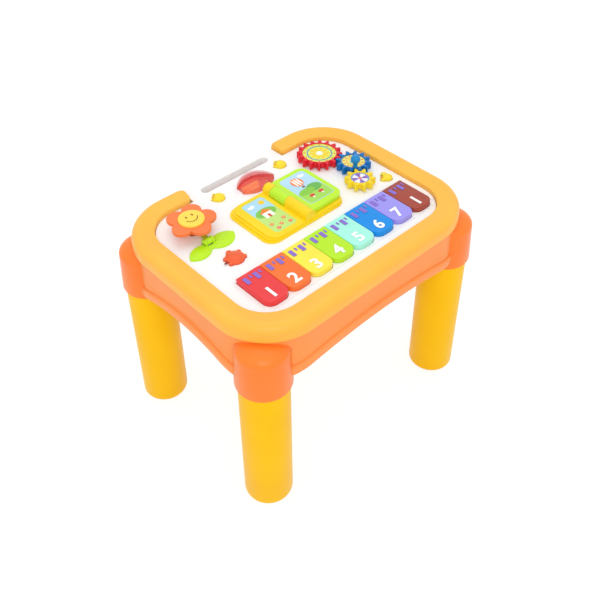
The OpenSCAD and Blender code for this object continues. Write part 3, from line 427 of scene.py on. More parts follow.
def turned(corners, steps=96):
    """Turned solid about Z from corners (radius, z, rounding); the first and last lie on the axis."""
    bm = rounded_outline(corners, fineness=1.2)
    bmesh.ops.delete(bm, geom=bm.faces[:], context="FACES_ONLY")
    on_axis = [e for e in bm.edges if all(abs(v.co.x) < 1e-5 for v in e.verts)]
    bmesh.ops.delete(bm, geom=on_axis, context="EDGES")
    swivel(bm, QUARTER, "X")
    spin_about_z(bm, bm.verts[:] + bm.edges[:], 2 * math.pi, steps, close=True)
    bmesh.ops.remove_doubles(bm, verts=bm.verts, dist=WELD)
    return bm


def dome(radius, height, x=0.0, y=0.0, z=0.0, steps=48):
    """Cap cut from a sphere, closed underneath."""
    bowl = (radius * radius + height * height) / (2 * height)
    bm = bmesh.new()
    bmesh.ops.create_uvsphere(bm, u_segments=steps, v_segments=int(steps * 1.5), radius=bowl)
    shift(bm, x, y, z + height - bowl)
    foot = bmesh.ops.bisect_plane(
        bm, geom=bm.verts[:] + bm.edges[:] + bm.faces[:], plane_co=(0, 0, z), plane_no=(0, 0, 1),
        clear_inner=True)["geom_cut"]
    bmesh.ops.edgeloop_fill(bm, edges=only(bmesh.types.BMEdge, foot))
    return bm


def rod(radius, start, end, segments=32):
    """Round bar between two points."""
    start, end = Vector(start), Vector(end)
    along = end - start
    turn = along.to_track_quat("Z", "Y").to_matrix().to_4x4()
    bm = bmesh.new()
    bmesh.ops.create_cone(
        bm, cap_ends=True, radius1=radius, radius2=radius, depth=along.length, segments=segments,
        matrix=Matrix.Translation((start + end) / 2) @ turn)
    return bm


def block(low, high, soft=0.4):
    """Box between two corners with softened edges."""
    low, high = Vector(low), Vector(high)
    bm = bmesh.new()
    bmesh.ops.create_cube(bm, size=1, matrix=Matrix.LocRotScale((low + high) / 2, None, high - low))
    bmesh.ops.bevel(
        bm, geom=bm.edges[:], offset=soft, offset_type="OFFSET", segments=2, profile=0.5,
        affect="EDGES", material=-1)
    return bm


def bent_rod(radius, centre, bend, start, sweep, steps=24):
    """Part of a ring lying level: a rod bent about centre."""
    bm = bmesh.new()
    bmesh.ops.create_circle(bm, radius=radius, segments=12)
    swivel(bm, QUARTER, "X")
    shift(bm, bend)
    swivel(bm, start)
    first = bm.edges[:]
    last = spin_about_z(bm, bm.verts[:] + first, sweep, steps)
    for ring in (first, only(bmesh.types.BMEdge, last)):
        bmesh.ops.edgeloop_fill(bm, edges=ring)
    shift(bm, *centre)
    return bm


def together(*shapes):
    """One bmesh of several."""
    bm = shapes[0]
    for other in shapes[1:]:
        scrap = bpy.data.meshes.new("scrap")
        other.to_mesh(scrap)
        other.free()
        bm.from_mesh(scrap)
        bpy.data.meshes.remove(scrap)
    return bm


def piece(name, bm, material, like, replaces=False):
    """Finished piece of a shape in millimetres, riding with the CAD node it is like."""
    mesh = metre_mesh(name, bm)
    mesh.materials.append(material)
    smooth(mesh)
    obj = add_object(name, mesh)
    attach(obj, BODY_OF[like])
    if replaces:
        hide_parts(like)
    return obj


def even_shading(obj):
    """Keeps flat faces flat beside rounded edges."""
    weighted = obj.modifiers.new("even_shading", "WEIGHTED_NORMAL")
    weighted.keep_sharp = True


def softened(node, material, soft=None, split=False):
    """Merged copy of a CAD node with soft edges, in place of the node; split parts its hollow faces."""
    bm = bmesh.new()
    bm.from_mesh(NODES[node].data)
    bmesh.ops.scale(bm, verts=bm.verts, vec=(1 / MM, 1 / MM, 1 / MM))
    bmesh.ops.remove_doubles(bm, verts=bm.verts, dist=WELD)
    bmesh.ops.dissolve_limit(
        bm, angle_limit=math.radians(0.5), verts=bm.verts, edges=bm.edges, use_dissolve_boundaries=False)
    if split:
        bmesh.ops.connect_verts_concave(bm, faces=bm.faces)
    obj = piece(node + "_moulding", bm, material, node, replaces=True)
    if soft:
        bevel = obj.modifiers.new("soft_edges", "BEVEL")
        bevel.width = soft * MM
        bevel.segments = 2
        bevel.limit_method = "ANGLE"
        bevel.angle_limit = math.radians(40)
        bevel.harden_normals = True
        bevel.miter_outer = "MITER_ARC"
    return obj


def cut(obj, cutter, crossing=False):
    """Takes the cutter, a bmesh in millimetres, out of a piece; crossing joins shells that overlap."""
    mesh = metre_mesh("cutter", cutter)
    tool = add_object("cutter", mesh)
    boolean = obj.modifiers.new("cut", "BOOLEAN")
    boolean.object = tool
    boolean.operation = "DIFFERENCE"
    boolean.solver = "EXACT"
    boolean.use_self = crossing
    shape = finished_mesh(obj)
    obj.modifiers.remove(boolean)
    bpy.data.objects.remove(tool)
    bpy.data.meshes.remove(mesh)
    shape.name = obj.name
    obj.data = shape
    smooth(shape)


def dress(node, material):
    """Gives a CAD node that stays its finish."""
    mesh = NODES[node].data
    mesh.materials.clear()
    mesh.materials.append(material)


# ---- Sweeps round the rim ----


def next_loop(bm, edges):
    """Extrudes an edge loop in place and returns the new loop and its vertices."""
    made = bmesh.ops.extrude_edge_only(bm, edges=edges)["geom"]
    verts = only(bmesh.types.BMVert, made)
    ring = set(verts)
    return [edge for edge in only(bmesh.types.BMEdge, made) if set(edge.verts) <= ring], verts


def go_straight(bm, edges, move, steps=1):
    """Extrudes an edge loop along a straight run and returns the last loop."""
    step = Vector(move) / steps
    for _ in range(steps):
        edges, verts = next_loop(bm, edges)
        bmesh.ops.translate(bm, verts=verts, vec=step)
    return edges


def go_round(bm, edges, centre, steps):
    """Spins an edge loop a quarter turn to the left and returns the last loop."""
    verts = list(dict.fromkeys(vert for edge in edges for vert in edge.verts))
    return only(bmesh.types.BMEdge, spin_about_z(bm, verts + edges, QUARTER, steps, centre))


def go_about(bm, edges, run_x, run_y, end, steps=(1, 1, 1), bend=28):
    """Sweeps an edge loop from x = -end on the rear side round the table to x = end."""
    rear, side, front = steps
    edges = go_straight(bm, edges, (end - run_x, 0, 0), rear)
    for centre, move, count in (
            ((-run_x, run_y), (0, -2 * run_y, 0), side), ((-run_x, -run_y), (2 * run_x, 0, 0), front),
            ((run_x, -run_y), (0, 2 * run_y, 0), side), ((run_x, run_y), (end - run_x, 0, 0), rear)):
        edges = go_straight(bm, go_round(bm, edges, centre, bend), move, count)
    return edges


def rim_walls():
    """Half length and half width of the rim's opening, in millimetres."""
    high = extent("table_rim")[1]
    band = sizes().rim_band
    return high.x - band, high.y - band


def section_loop(corners, x, y_wall):
    """Edge loop of a section (distance from the wall, height, rounding) on the rear side at x."""
    bm = rounded_outline(corners, fineness=1.0)
    bmesh.ops.delete(bm, geom=bm.faces[:], context="FACES_ONLY")
    stand = Matrix(((0, 0, 1, x), (1, 0, 0, y_wall), (0, 1, 0, 0), (0, 0, 0, 1)))
    bmesh.ops.transform(bm, matrix=stand, verts=bm.verts)
    return bm


def round_end(bm, edges, away, wall_y, reach=8.0, steps=7):
    """Closes the rim's end: the band narrows along a quarter circle."""
    half = sizes().rim_band / 2
    at = 0.0
    for k in range(1, steps + 1):
        turn = QUARTER * k / steps
        edges, verts = next_loop(bm, edges)
        narrow = (half - reach * (1 - math.cos(turn))) / (half - reach * (1 - math.cos(turn - QUARTER / steps)))
        bmesh.ops.translate(bm, verts=verts, vec=(away * (reach * math.sin(turn) - at), 0, 0))
        bmesh.ops.scale(
            bm, verts=verts, vec=(1, narrow, 1), space=Matrix.Translation((0, -wall_y - half, 0)))
        at = reach * math.sin(turn)
    bmesh.ops.edgeloop_fill(bm, edges=edges)


# ---- Table frame ----


def rim():
    """Orange rim, swept from one end of its rear gap round to the other."""
    s = sizes()
    low, high = extent("table_rim")
    wall_x, wall_y = rim_walls()
    lean = math.radians(10)
    crown_u = s.rim_band - s.rim_round
    foot_u = crown_u - s.rim_round * math.sin(lean)
    foot_z = high.z - s.rim_round * (1 - math.cos(lean))
    corners = [
        (0, low.z, 0.5), (s.rim_band, low.z, 5),
        (s.rim_band, foot_z + (s.rim_band - foot_u) * math.tan(lean), s.rim_round),
        (0, foot_z - foot_u * math.tan(lean), 2.0)]
    end = s.gap / 2 + 8
    bm = section_loop(corners, -end, wall_y)
    first = bm.edges[:]
    last = go_about(bm, first, wall_x - s.rim_corner, wall_y - s.rim_corner, end)
    round_end(bm, last, -1, wall_y)
    round_end(bm, first, 1, wall_y)
    # The rim's lighter orange is painted light from above on the plastic that the skirt and sockets share.
    orange = plastic("rim_orange_painted_light", tint("rim"), 0.28)
    even_shading(piece("rim_moulding", bm, orange, "table_rim", replaces=True))


def roof_top():
    """Height of the sockets' roof, which carries the shelf."""
    return extent("leg_rear_right")[1].z + LEG_PLAY + SOCKET_ROOF


def arch_drop(along, half, rise):
    """How far an arch's edge lies below its middle at a distance along it."""
    radius = (half * half + rise * rise) / (2 * rise)
    return radius - math.sqrt(radius * radius - min(abs(along), half) ** 2)


def skirt():
    """Skirt with a lip along its arches, and the shelf inside it, cut for handle and fingers."""
    s = sizes()
    high = extent("apron")[1]
    wall_x, wall_y = rim_walls()
    socket_low, socket_high = extent("leg_socket_rear_right")
    socket_top = roof_top()
    socket_r = (socket_high.x - socket_low.x) / 2
    socket_x, socket_y = socket_high.x - socket_r, socket_high.y - socket_r
    arch_z, wall, shelf_edge, flange = 257.0, 3, -5.4, 11
    lip_top, lip_face = arch_z + s.lip_h, s.skirt_out + s.lip_out
    inner = s.skirt_out - s.skirt_wall
    corners = [
        (s.skirt_out, high.z, 0), (s.skirt_out, lip_top, 0.9), (lip_face, lip_top, 3.2),
        (lip_face, arch_z, 1.1), (inner, arch_z, 0.8), (inner, socket_top, 0), (shelf_edge, socket_top, 0),
        (shelf_edge, socket_top + wall, 0), (inner, socket_top + wall, 0), (inner, high.z - wall, 0),
        (inner - flange, high.z - wall, 0), (inner - flange, high.z, 0)]
    run_x, run_y = wall_x - s.rim_corner, wall_y - s.rim_corner
    bm = section_loop(corners, 0, wall_y)
    go_about(bm, bm.edges[:], run_x, run_y, 0, steps=(24, 40, 48), bend=30)
    bmesh.ops.remove_doubles(bm, verts=bm.verts, dist=WELD)
    long_half, short_half = socket_x - 12, socket_y - 20
    for vert in bm.verts:
        x, y, z = vert.co
        if z < lip_top + 0.1:
            on_long = abs(y) - run_y > abs(x) - run_x
            arch = (x, long_half, s.long_rise) if on_long else (y, short_half, s.short_rise)
            vert.co.z -= arch_drop(*arch)
    obj = piece("skirt_moulding", bm, plastic("skirt_orange", tint("skirt"), 0.3), "apron", replaces=True)
    handle_half, handle_low, fingers_half = 86.6, 302.4, 63.5
    in_sockets = [
        rod(socket_r - 2, (x, y, 0), (x, y, socket_top - 0.4), 96)
        for x, y in ((sx * socket_x, sy * socket_y) for sx, sy, _ in CORNERS)]
    cut(obj, together(
        block((-handle_half, 120, handle_low), (handle_half, 170, high.z + 4), SQUARE),
        block((-fingers_half, 132, socket_top - 4), (fingers_half, 154, socket_top + 6), SQUARE), *in_sockets))


def sockets():
    """Corner sockets, open underneath for the legs, with a dome that meets the skirt."""
    s = sizes()
    # The sockets' deeper orange is painted shade on the plastic that the skirt and rim share.
    colour = plastic("socket_orange_painted_shade", tint("socket"), 0.26)
    wall_x, wall_y = rim_walls()
    play, wall = 0.2, 3.8
    past_wall = s.skirt_out - play
    inside_x, inside_y = wall_x + past_wall, wall_y + past_wall
    for _, _, corner in CORNERS:
        node = "leg_socket_" + corner
        low, high = extent(node)
        radius = (high.x - low.x) / 2
        bore = radius - wall
        shoulder = radius - s.socket_taper
        dome_z = roof_top() - 1
        bm = turned([
            (0, roof_top() - SOCKET_ROOF, 0), (bore, roof_top() - SOCKET_ROOF, 0), (bore, low.z, 0.6),
            (radius, low.z, 1.6), (shoulder, dome_z, 0), (shoulder, dome_z + shoulder, shoulder - 0.05),
            (0, dome_z + shoulder, 0)])
        for vert in bm.verts:
            if vert.co.z > dome_z:
                vert.co.z = dome_z + (vert.co.z - dome_z) * s.socket_dome / shoulder
        shift(bm, (low.x + high.x) / 2, (low.y + high.y) / 2)
        obj = piece("socket_" + corner, bm, colour, node, replaces=True)
        inside = rounded_rectangle(-inside_x, -inside_y, inside_x, inside_y, s.rim_corner + past_wall)
        cut(obj, lift(inside, roof_top(), dome_z + 2 * s.socket_dome))


def legs():
    """Round legs with rounded feet, pushed into the sockets."""
    colour = plastic("leg_yellow", tint("leg"), 0.3, shine=0.15)
    wall, foot = 3, 4
    for _, _, corner in CORNERS:
        node = "leg_" + corner
        low, high = extent(node)
        radius = (high.x - low.x) / 2
        bore = radius - wall
        bm = turned([
            (0, low.z, 0), (radius, low.z, 9), (radius, high.z, 0.8), (bore, high.z, 0.5),
            (bore, foot, 1), (0, foot, 0)])
        shift(bm, (low.x + high.x) / 2, (low.y + high.y) / 2)
        piece("plug_in_" + node, bm, colour, node, replaces=True)


# ---- Keys ----


def key_outline(x, half, s):
    """Outline of one key: round front corners, nearly square rear ones."""
    return rounded_outline([
        (x - half, -s.key_front, s.key_corner), (x + half, -s.key_front, s.key_corner),
        (x + half, -s.key_rear, 1.2), (x - half, -s.key_rear, 1.2)])


def key_cap(i, material):
    """Key with a round shoulder, a raised field, an arm to its rod and a plunger."""
    s = sizes()
    node = f"key_{i}"
    low, high = extent(node)
    x = (low.x + high.x) / 2
    half = (high.x - low.x) / 2
    cap_low, field_drop, margin = 317, 0.5, 3.4
    cap = lift(key_outline(x, half, s), cap_low, high.z - field_drop, 2.4, segments=4)
    field = key_outline(x, half, s)
    bmesh.ops.inset_region(field, faces=field.faces, thickness=margin, use_even_offset=True)
    border = [f for f in field.faces if any(len(e.link_faces) == 1 for e in f.edges)]
    bmesh.ops.delete(field, geom=border, context="FACES")
    field = lift(field, high.z - field_drop - 1, high.z, 0.5, segments=2)
    rod_y, rod_z, arm_half, arm_up = -36.0, 316.5, 10.6, 4
    plunger_y, plunger_play = -92, 3.2
    plunger_low = extent("key_contact_mat")[1].z + plunger_play
    arm = block((x - arm_half, -s.key_rear - 2, rod_z - arm_up), (x + arm_half, rod_y, rod_z + arm_up), 0.5)
    knuckle = rod(4.2, (x - arm_half, rod_y, rod_z), (x + arm_half, rod_y, rod_z))
    plunger = rod(3, (x, plunger_y, plunger_low), (x, plunger_y, cap_low + 3))
    piece(f"key_cap_{i}", together(cap, field, arm, knuckle, plunger), material, node, replaces=True)


def key_marks(i):
    """Bars printed at the rear of a key, as on a small keyboard, and its number."""
    s = sizes()
    node = f"key_{i}"
    low, high = extent(node)
    x = (low.x + high.x) / 2
    top = high.z
    marks = plastic("key_bars_lilac", tint("key_print"), 0.35)
    bars_y, number_y, number_h = -53, -95, 20
    shapes = [
        rounded_rectangle(x + dx - wide / 2, bars_y - long, x + dx + wide / 2, bars_y, 0.5)
        for dx, wide, long in ((-12, 6, 13), (-3, 2.6, 6), (5, 6, 13), (12.6, 2.6, 6))]
    bars = together(*[lift(shape, top - SUNK, top + s.print_t) for shape in shapes])
    piece(f"key_bars_{i}", bars, marks, node)
    white = plastic("number_white", shade(255, 255, 255), 0.3)
    piece(f"key_number_{i}", number(str((i - 1) % 7 + 1), x - 2, number_y, top, number_h), white, node)


def number(text, x, y, z, height):
    """Thick plain digit lying level, in a new bmesh in millimetres."""
    curve = bpy.data.curves.new("digit", "FONT")
    curve.body = text
    curve.offset = 0.03
    curve.extrude = 0.02
    curve.resolution_u = 8
    obj = add_object("digit", curve)
    mesh = finished_mesh(obj)
    bm = bmesh.new()
    bm.from_mesh(mesh)
    bpy.data.objects.remove(obj)
    bpy.data.curves.remove(curve)
    bpy.data.meshes.remove(mesh)
    bmesh.ops.remove_doubles(bm, verts=bm.verts, dist=WELD / 10)
    low, high = (Vector(pick(vert.co[k] for vert in bm.verts) for k in range(3)) for pick in (min, max))
    grow = height / (high.y - low.y)
    thick = sizes().print_t / (high.z - low.z)
    shift(bm, -(low.x + high.x) / 2, -(low.y + high.y) / 2, -low.z)
    bmesh.ops.scale(bm, verts=bm.verts, vec=(grow, grow, thick))
    shift(bm, x, y, z - SUNK / 2)
    return bm


# ---- Printed pictures ----


def middle_of(node):
    """Middle of a CAD node in plan, and the height of its top."""
    low, high = extent(node)
    return (low.x + high.x) / 2, (low.y + high.y) / 2, high.z


def stamp(name, node, colour, *shapes, layer=1):
    """Flat shapes printed on top of a node; a higher layer covers a lower one."""
    top = extent(node)[1].z
    thick = sizes().print_t * layer
    step = 0.01
    raised = [lift(shape, top - SUNK, top + thick + step * k) for k, shape in enumerate(shapes)]
    return piece(name, together(*raised), plastic("ink_" + name, colour, 0.34, 0.05, 0.00001), node)


def round_about(count, reach, x, y, start=0.0):
    """Places (x, y, direction in degrees) evenly round a middle."""
    for k in range(count):
        turn = start + 360 / count * k
        yield x + reach * math.cos(math.radians(turn)), y + reach * math.sin(math.radians(turn)), turn


def red_gear_print():
    """A daisy of ovals inside a ring of dots."""
    node = "red_gear_disc"
    x, y, _ = middle_of(node)
    stamp("daisy_petals", node, shade(255, 214, 52), *[
        oval(5.6, 2.7, px, py, turn) for px, py, turn in round_about(10, 11.5, x, y)])
    stamp("daisy_ring", node, shade(30, 128, 204), sector(18.2, 19.6, x, y, 0, 360, 72), layer=2)
    stamp("daisy_middle", node, shade(252, 252, 248), disc(5, x, y), layer=2)
    stamp("daisy_dots", node, shade(244, 110, 76), *[
        disc(1.3, px, py, 24) for px, py, _ in round_about(12, 22.6, x, y, 15)])


def blue_gear_print():
    """Two rings and short rays."""
    node = "blue_gear_disc"
    x, y, _ = middle_of(node)
    stamp("sun_ring", node, shade(250, 190, 40), sector(9.4, 11, x, y, 0, 360, 60))
    stamp("sun_rays", node, shade(238, 120, 60), *[
        oval(2.4, 0.9, px, py, turn, 24) for px, py, turn in round_about(12, 14.4, x, y, 8)])
    stamp("sun_middle", node, shade(112, 190, 236), disc(5, x, y), layer=2)


def yellow_gear_print():
    """Pinwheel of white and violet fields."""
    node = "yellow_gear_disc"
    x, y, _ = middle_of(node)
    for name, colour, start in (("white_fields", (250, 250, 252), 0), ("violet_fields", (150, 110, 200), 45)):
        stamp(name, node, shade(*colour), *[
            sector(3, 11.6, x, y, turn, 40, 6) for _, _, turn in round_about(4, 1, x, y, start)])
    stamp("pinwheel_ring", node, shade(72, 150, 214), sector(12, 13.2, x, y, 0, 360, 60))
    stamp("pinwheel_middle", node, shade(244, 120, 90), disc(2.4, x, y), layer=2)


def cloud(x, y, puffs):
    """Ovals (half length, half height, offset x, offset y) that overlap to a cloud."""
    return [oval(across, along, x + dx, y + dy) for across, along, dx, dy in puffs]


def left_picture():
    """A house, a sun and flowers on a meadow."""
    node = "left_page_card"
    low, high = extent(node)
    x, y, _ = middle_of(node)
    sky = rounded_rectangle(low.x + 1, y + 6, high.x - 1, high.y - 1, 5)
    stamp("left_sky", node, shade(176, 222, 246), sky)
    stamp("left_hill", node, shade(128, 200, 82), oval(17, 10, x, y + 6), layer=2)
    stamp("left_sun", node, shade(255, 208, 44), disc(4.6, x + 10, y + 28), layer=2)
    puffs = cloud(x - 9, y + 27, ((5, 2.6, 0, 0), (3, 2.4, 2.6, 1.8), (3, 2, -3, 1)))
    stamp("left_cloud", node, shade(255, 255, 255), *puffs, layer=3)
    stamp("house_wall", node, shade(252, 248, 240), rounded_rectangle(x - 8, y - 6, x + 8, y + 6, 0.4), layer=3)
    stamp("house_roof", node, shade(244, 136, 52), rounded_outline([
        (x - 10.5, y + 6, 0.4), (x + 10.5, y + 6, 0.4), (x, y + 15, 0.4)]), layer=4)
    stamp("house_door", node, shade(214, 96, 60), rounded_rectangle(x - 2, y - 6, x + 2, y + 1, 0.6), layer=4)
    flowers = [(x + fx, y + fy) for fx, fy in ((-12, -20), (0, -27), (11, -19), (13, -31), (-9, -32))]
    petals = [place for spot in flowers for place in round_about(5, 1.9, *spot)]
    stamp("meadow_petals", node, shade(250, 120, 110), *[
        oval(1.5, 1, px, py, turn, 16) for px, py, turn in petals], layer=2)
    stamp("meadow_middles", node, shade(255, 226, 70), *[disc(1.1, fx, fy, 16) for fx, fy in flowers], layer=3)


def right_picture():
    """A striped balloon over two hills."""
    node = "right_page_card"
    low, high = extent(node)
    x, y, _ = middle_of(node)
    meadow = rounded_rectangle(low.x + 1, low.y + 1, high.x - 1, y - 6, 5)
    stamp("right_meadow", node, shade(168, 224, 92), meadow)
    stamp("far_hill", node, shade(110, 186, 84), oval(13, 9, x + 8, y - 7), layer=2)
    stamp("near_hill", node, shade(140, 208, 70), oval(14, 7, x - 7, y - 9), layer=3)
    stamp("balloon", node, shade(246, 128, 56), oval(9.4, 10.6, x - 3, y + 17), layer=2)
    stamp("balloon_stripes", node, shade(255, 250, 240), *[
        oval(1.7, h, x - 3 + dx, y + 17) for dx, h in ((-4.4, 8.8), (0, 10.2), (4.4, 8.8))], layer=3)
    basket = rounded_rectangle(x - 5, y + 1, x - 1, y + 4.4, 0.6)
    stamp("balloon_basket", node, shade(150, 92, 60), basket, layer=4)
    puffs = cloud(x + 12, y + 25, ((5, 2.6, 0, 0), (3, 2.4, -2.4, 1.6), (3, 2, 3, 1)))
    stamp("right_cloud", node, shade(255, 255, 255), *puffs, layer=2)
    stamp("mushroom_stalks", node, shade(252, 246, 232), *[
        rounded_rectangle(x + dx - 1.4, y - 27, x + dx + 1.4, y - 22, 0.6) for dx in (-8, 9)], layer=4)
    stamp("mushroom_caps", node, shade(226, 66, 56), *[
        oval(4.4, 2.6, x + dx, y - 21) for dx in (-8, 9)], layer=5)


# ---- Things that are played with ----


def gears():
    """Three toothed wheels with their discs, and the crank knob."""
    for node in ("red_gear", "blue_gear", "yellow_gear"):
        softened(node, plastic(node + "_plastic", tint(node), 0.2), 0.7, split=True)
    dress("red_gear_disc", plastic("disc_lime", shade(226, 240, 112), 0.34))
    dress("blue_gear_disc", plastic("disc_straw", shade(244, 234, 130), 0.34))
    dress("yellow_gear_disc", plastic("disc_lavender", shade(222, 214, 244), 0.34))
    red_gear_print()
    blue_gear_print()
    yellow_gear_print()
    softened("crank_knob", plastic("knob_plastic", shade(24, 140, 206), 0.16), 0.3)


def book():
    """Stepped tray with its spine, the page that turns and the two picture cards."""
    softened("book_tray", plastic("tray_yellow", tint("tray"), 0.22), 0.7)
    softened("book_page", plastic("page_lime", tint("page"), 0.22), 0.9)
    dress("left_page_card", plastic("card_meadow", shade(196, 232, 128), 0.32))
    dress("right_page_card", plastic("card_sky", shade(184, 224, 246), 0.32))
    left_picture()
    right_picture()


def puffed(bm, z0, z1, shrink, upright=0.35, rings=7):
    """Pad on the flat face: upright at first, then rising to z1 in a quarter arc as it grows smaller."""
    shoulder = z0 + (z1 - z0) * upright
    lift(bm, z0, shoulder)
    top = [face for face in bm.faces if face.normal.z > 0.99]
    middle = sum((vert.co for vert in top[0].verts), Vector()) / len(top[0].verts)
    size = 1.0
    for k in range(1, rings + 1):
        turn = QUARTER * k / rings
        top = only(bmesh.types.BMFace, bmesh.ops.extrude_face_region(bm, geom=[*top, *top[0].edges])["geom"])
        now = 1 - shrink * (1 - math.cos(turn))
        bmesh.ops.scale(
            bm, verts=top[0].verts[:], vec=(now / size, now / size, 1), space=Matrix.Translation(-middle))
        for vert in top[0].verts:
            vert.co.z = shoulder + (z1 - shoulder) * math.sin(turn)
        size = now
    return bm


def leaf_outline(x, y, long_way, across, turn):
    """Leaf in plan: two arcs that meet in a point at both ends."""
    arc = (long_way ** 2 + across ** 2) / (4 * across)
    half = math.asin(long_way / 2 / arc)
    bm = bmesh.new()
    verts = []
    for side in (-1, 1):
        for k in range(24):
            at = side * (half * 2 * k / 24 - half)
            verts.append(bm.verts.new((arc * math.sin(at), side * (across / 2 - arc + arc * math.cos(at)), 0)))
    bm.faces.new(verts)
    swivel(bm, math.radians(turn))
    shift(bm, x, y)
    return bm


def leaves(material):
    """Two puffed leaves with a raised field, and the ears that hold the stem's pin."""
    pin_low, pin_high = extent("flower_pivot_pin")
    pin = (pin_low + pin_high) / 2
    low, high = extent("leaves")
    pivot_r = high.z - pin.z
    leaf_top = low.z + 4.5
    shapes = [puffed(disc(9, pin.x, pin.y - 4), low.z, leaf_top - 1, 0.4)]
    for dx, dy, long_way, across, turn in ((-19, -8, 40, 25, 10), (20, -6, 44, 29, 8)):
        at = pin.x + dx, pin.y + dy
        shapes.append(puffed(leaf_outline(*at, long_way, across, turn), low.z, leaf_top - 0.9, 0.3))
        shapes.append(puffed(
            leaf_outline(*at, long_way * 0.66, across * 0.56, turn), low.z + 1, leaf_top, 0.5, upright=0.62))
    obj = piece("puffed_leaves", together(*shapes), material, "leaves", replaces=True)
    slot_half, ear = 4.4, pin_high.x - pin.x + 0.4
    slot_low = (pin.x - slot_half, pin.y - pivot_r - 1, low.z - 1)
    slot_high = (pin.x + slot_half, pin.y + 30, low.z + 20)
    cut(obj, block(slot_low, slot_high, SQUARE), crossing=True)
    ears = []
    for side in (-1, 1):
        x0, x1 = sorted((pin.x + side * slot_half, pin.x + side * ear))
        ears.append(rod(pivot_r, (x0, pin.y, pin.z), (x1, pin.y, pin.z)))
        ears.append(block((x0, pin.y - pivot_r, low.z), (x1, pin.y + pivot_r, pin.z), 0.3))
    piece("leaf_ears", together(*ears), material, "leaves")


def flower():
    """Flower on its stem, with a plain smiling face, and two leaves."""
    softened("flower_petals", plastic("petal_coral", tint("petal"), 0.28), 1.5)
    low, high = extent("flower_face")
    x, y, top = middle_of("flower_face")
    radius = (high.x - low.x) / 2
    face = turned([(0, low.z, 0), (radius, low.z, 0.2), (radius, top, 1.4), (0, top, 0)])
    shift(face, x, y)
    yellow = plastic("face_yellow_plastic", tint("face"), 0.26)
    piece("smiling_face", face, yellow, "flower_face", replaces=True)
    ink = plastic("face_line", shade(168, 112, 40), 0.34)
    smile = bent_rod(0.8, (x, y + 1.5, top - 0.2), 9.6, math.radians(200), math.radians(140))
    eyes = [lift(oval(1.5, 2.4, x + side * 5, y + 5), top - 0.05, top + 0.3, 0.2) for side in (-1, 1)]
    piece("face_marks", together(smile, *eyes), ink, "flower_face")
    lime = plastic("leaf_lime", tint("leaf"), 0.22)
    leaves(lime)
    stem = softened("flower_stem", plastic("stem_olive", tint("stem"), 0.3), 0.4)
    stem.data.materials.append(lime)
    pin = sum(extent("flower_pivot_pin"), Vector()) / 2
    hub = pin.z - extent("flower_stem")[0].z + 0.3
    for face in stem.data.polygons:
        spot = face.center / MM
        if math.hypot(spot.y - pin.y, spot.z - pin.z) < hub:
            face.material_index = 1


def buttons():
    """Beetle, two chicks and a bird that are pressed."""
    softened("beetle_button", plastic("beetle_plastic", tint("beetle"), 0.22), 0.6)
    x, y, top = middle_of("beetle_button")
    tail = lift(oval(4.6, 1.5, x - 15, y - 3, 12), top - 4.9, top - 4.1, 0.3)
    piece("beetle_tail", tail, plastic("tail_dark_red", shade(150, 36, 26), 0.3), "beetle_button")
    yellow = plastic("chick_plastic", tint("chick"), 0.24)
    ink = plastic("eye_ink", shade(70, 54, 40), 0.3)
    beak = plastic("beak_orange", shade(240, 132, 40), 0.3)
    for node in ("left_chick_button", "right_chick_button", "bird_button"):
        softened(node, yellow, 0.5)
        x, y, top = middle_of(node)
        piece(node + "_eye", dome(1.1, 0.5, x - 3.4, y + 3.4, top - 1.1), ink, node)
        piece(node + "_beak", dome(1.7, 0.8, x - 6.6, y + 1.4, top - 2.6), beak, node)


def lamp():
    """Clear red window over its reflector and lamps."""
    softened("lamp_window", tinted_window("window_red", tint("window")), 0.5)
    # The reflector and the insert carry painted glow: emission in place of light from the lamps.
    dress("lamp_reflector", painted_glow(plastic("reflector_pink_painted_glow", shade(250, 172, 164), 0.2), 0.12))
    dress("lamp_insert", painted_glow(plastic("insert_yellow_painted_glow", shade(250, 190, 50), 0.26), 0.3))
    dress("lamps", plastic("lamp_frosted", shade(255, 246, 214), 0.12))


def panel():
    """White play panel with its handle, the shell under it, the battery door and the switch."""
    softened("panel_top", plastic("panel_white", tint("panel"), 0.24, 0.012), sizes().softness)
    shell = plastic("shell_white", tint("base"), 0.34, 0.02)
    softened("panel_base", shell, 0.5)
    softened("battery_door", shell, 0.3, split=True)
    softened("power_switch", plastic("switch_plastic", shade(122, 124, 130), 0.4), 0.4)


def fittings():
    """Finishes of the screws, pins, cells and electronics."""
    steel = metal("plated_steel", shade(196, 198, 202), 0.26)
    for node in (
            "frame_screws", "panel_screws", "key_pivot_rod", "spine_pin", "gear_axles", "flower_pivot_pin"):
        dress(node, steel)
    dress("battery_contacts", metal("spring_plate", shade(214, 214, 208), 0.32))
    dress("battery_cells", plastic("cell_jacket_film", shade(58, 62, 70), 0.3, 0.08))
    dress("circuit_board", plastic("board_green", shade(40, 128, 78), 0.42, 0.12, 0.00006, 120.0))
    dress("speaker", rubber("speaker_paper", shade(44, 44, 48)))
    for node in ("key_contact_mat", "button_domes"):
        dress(node, rubber("silicone_grey", shade(208, 210, 212)))


# ---- Stage ----


def aim(az, el, distance, target, roll):
    """Camera matrix: azimuth from the -Y side, elevation, distance, target in millimetres."""
    a, e = math.radians(az), math.radians(el)
    back = Vector((math.sin(a) * math.cos(e), -math.cos(a) * math.cos(e), math.sin(e)))
    place = (Vector(target) + back * distance) * MM
    turn = (-back).to_track_quat("-Z", "Y").to_matrix() @ Matrix.Rotation(math.radians(roll), 3, "Z")
    return Matrix.Translation(place) @ turn.to_4x4()


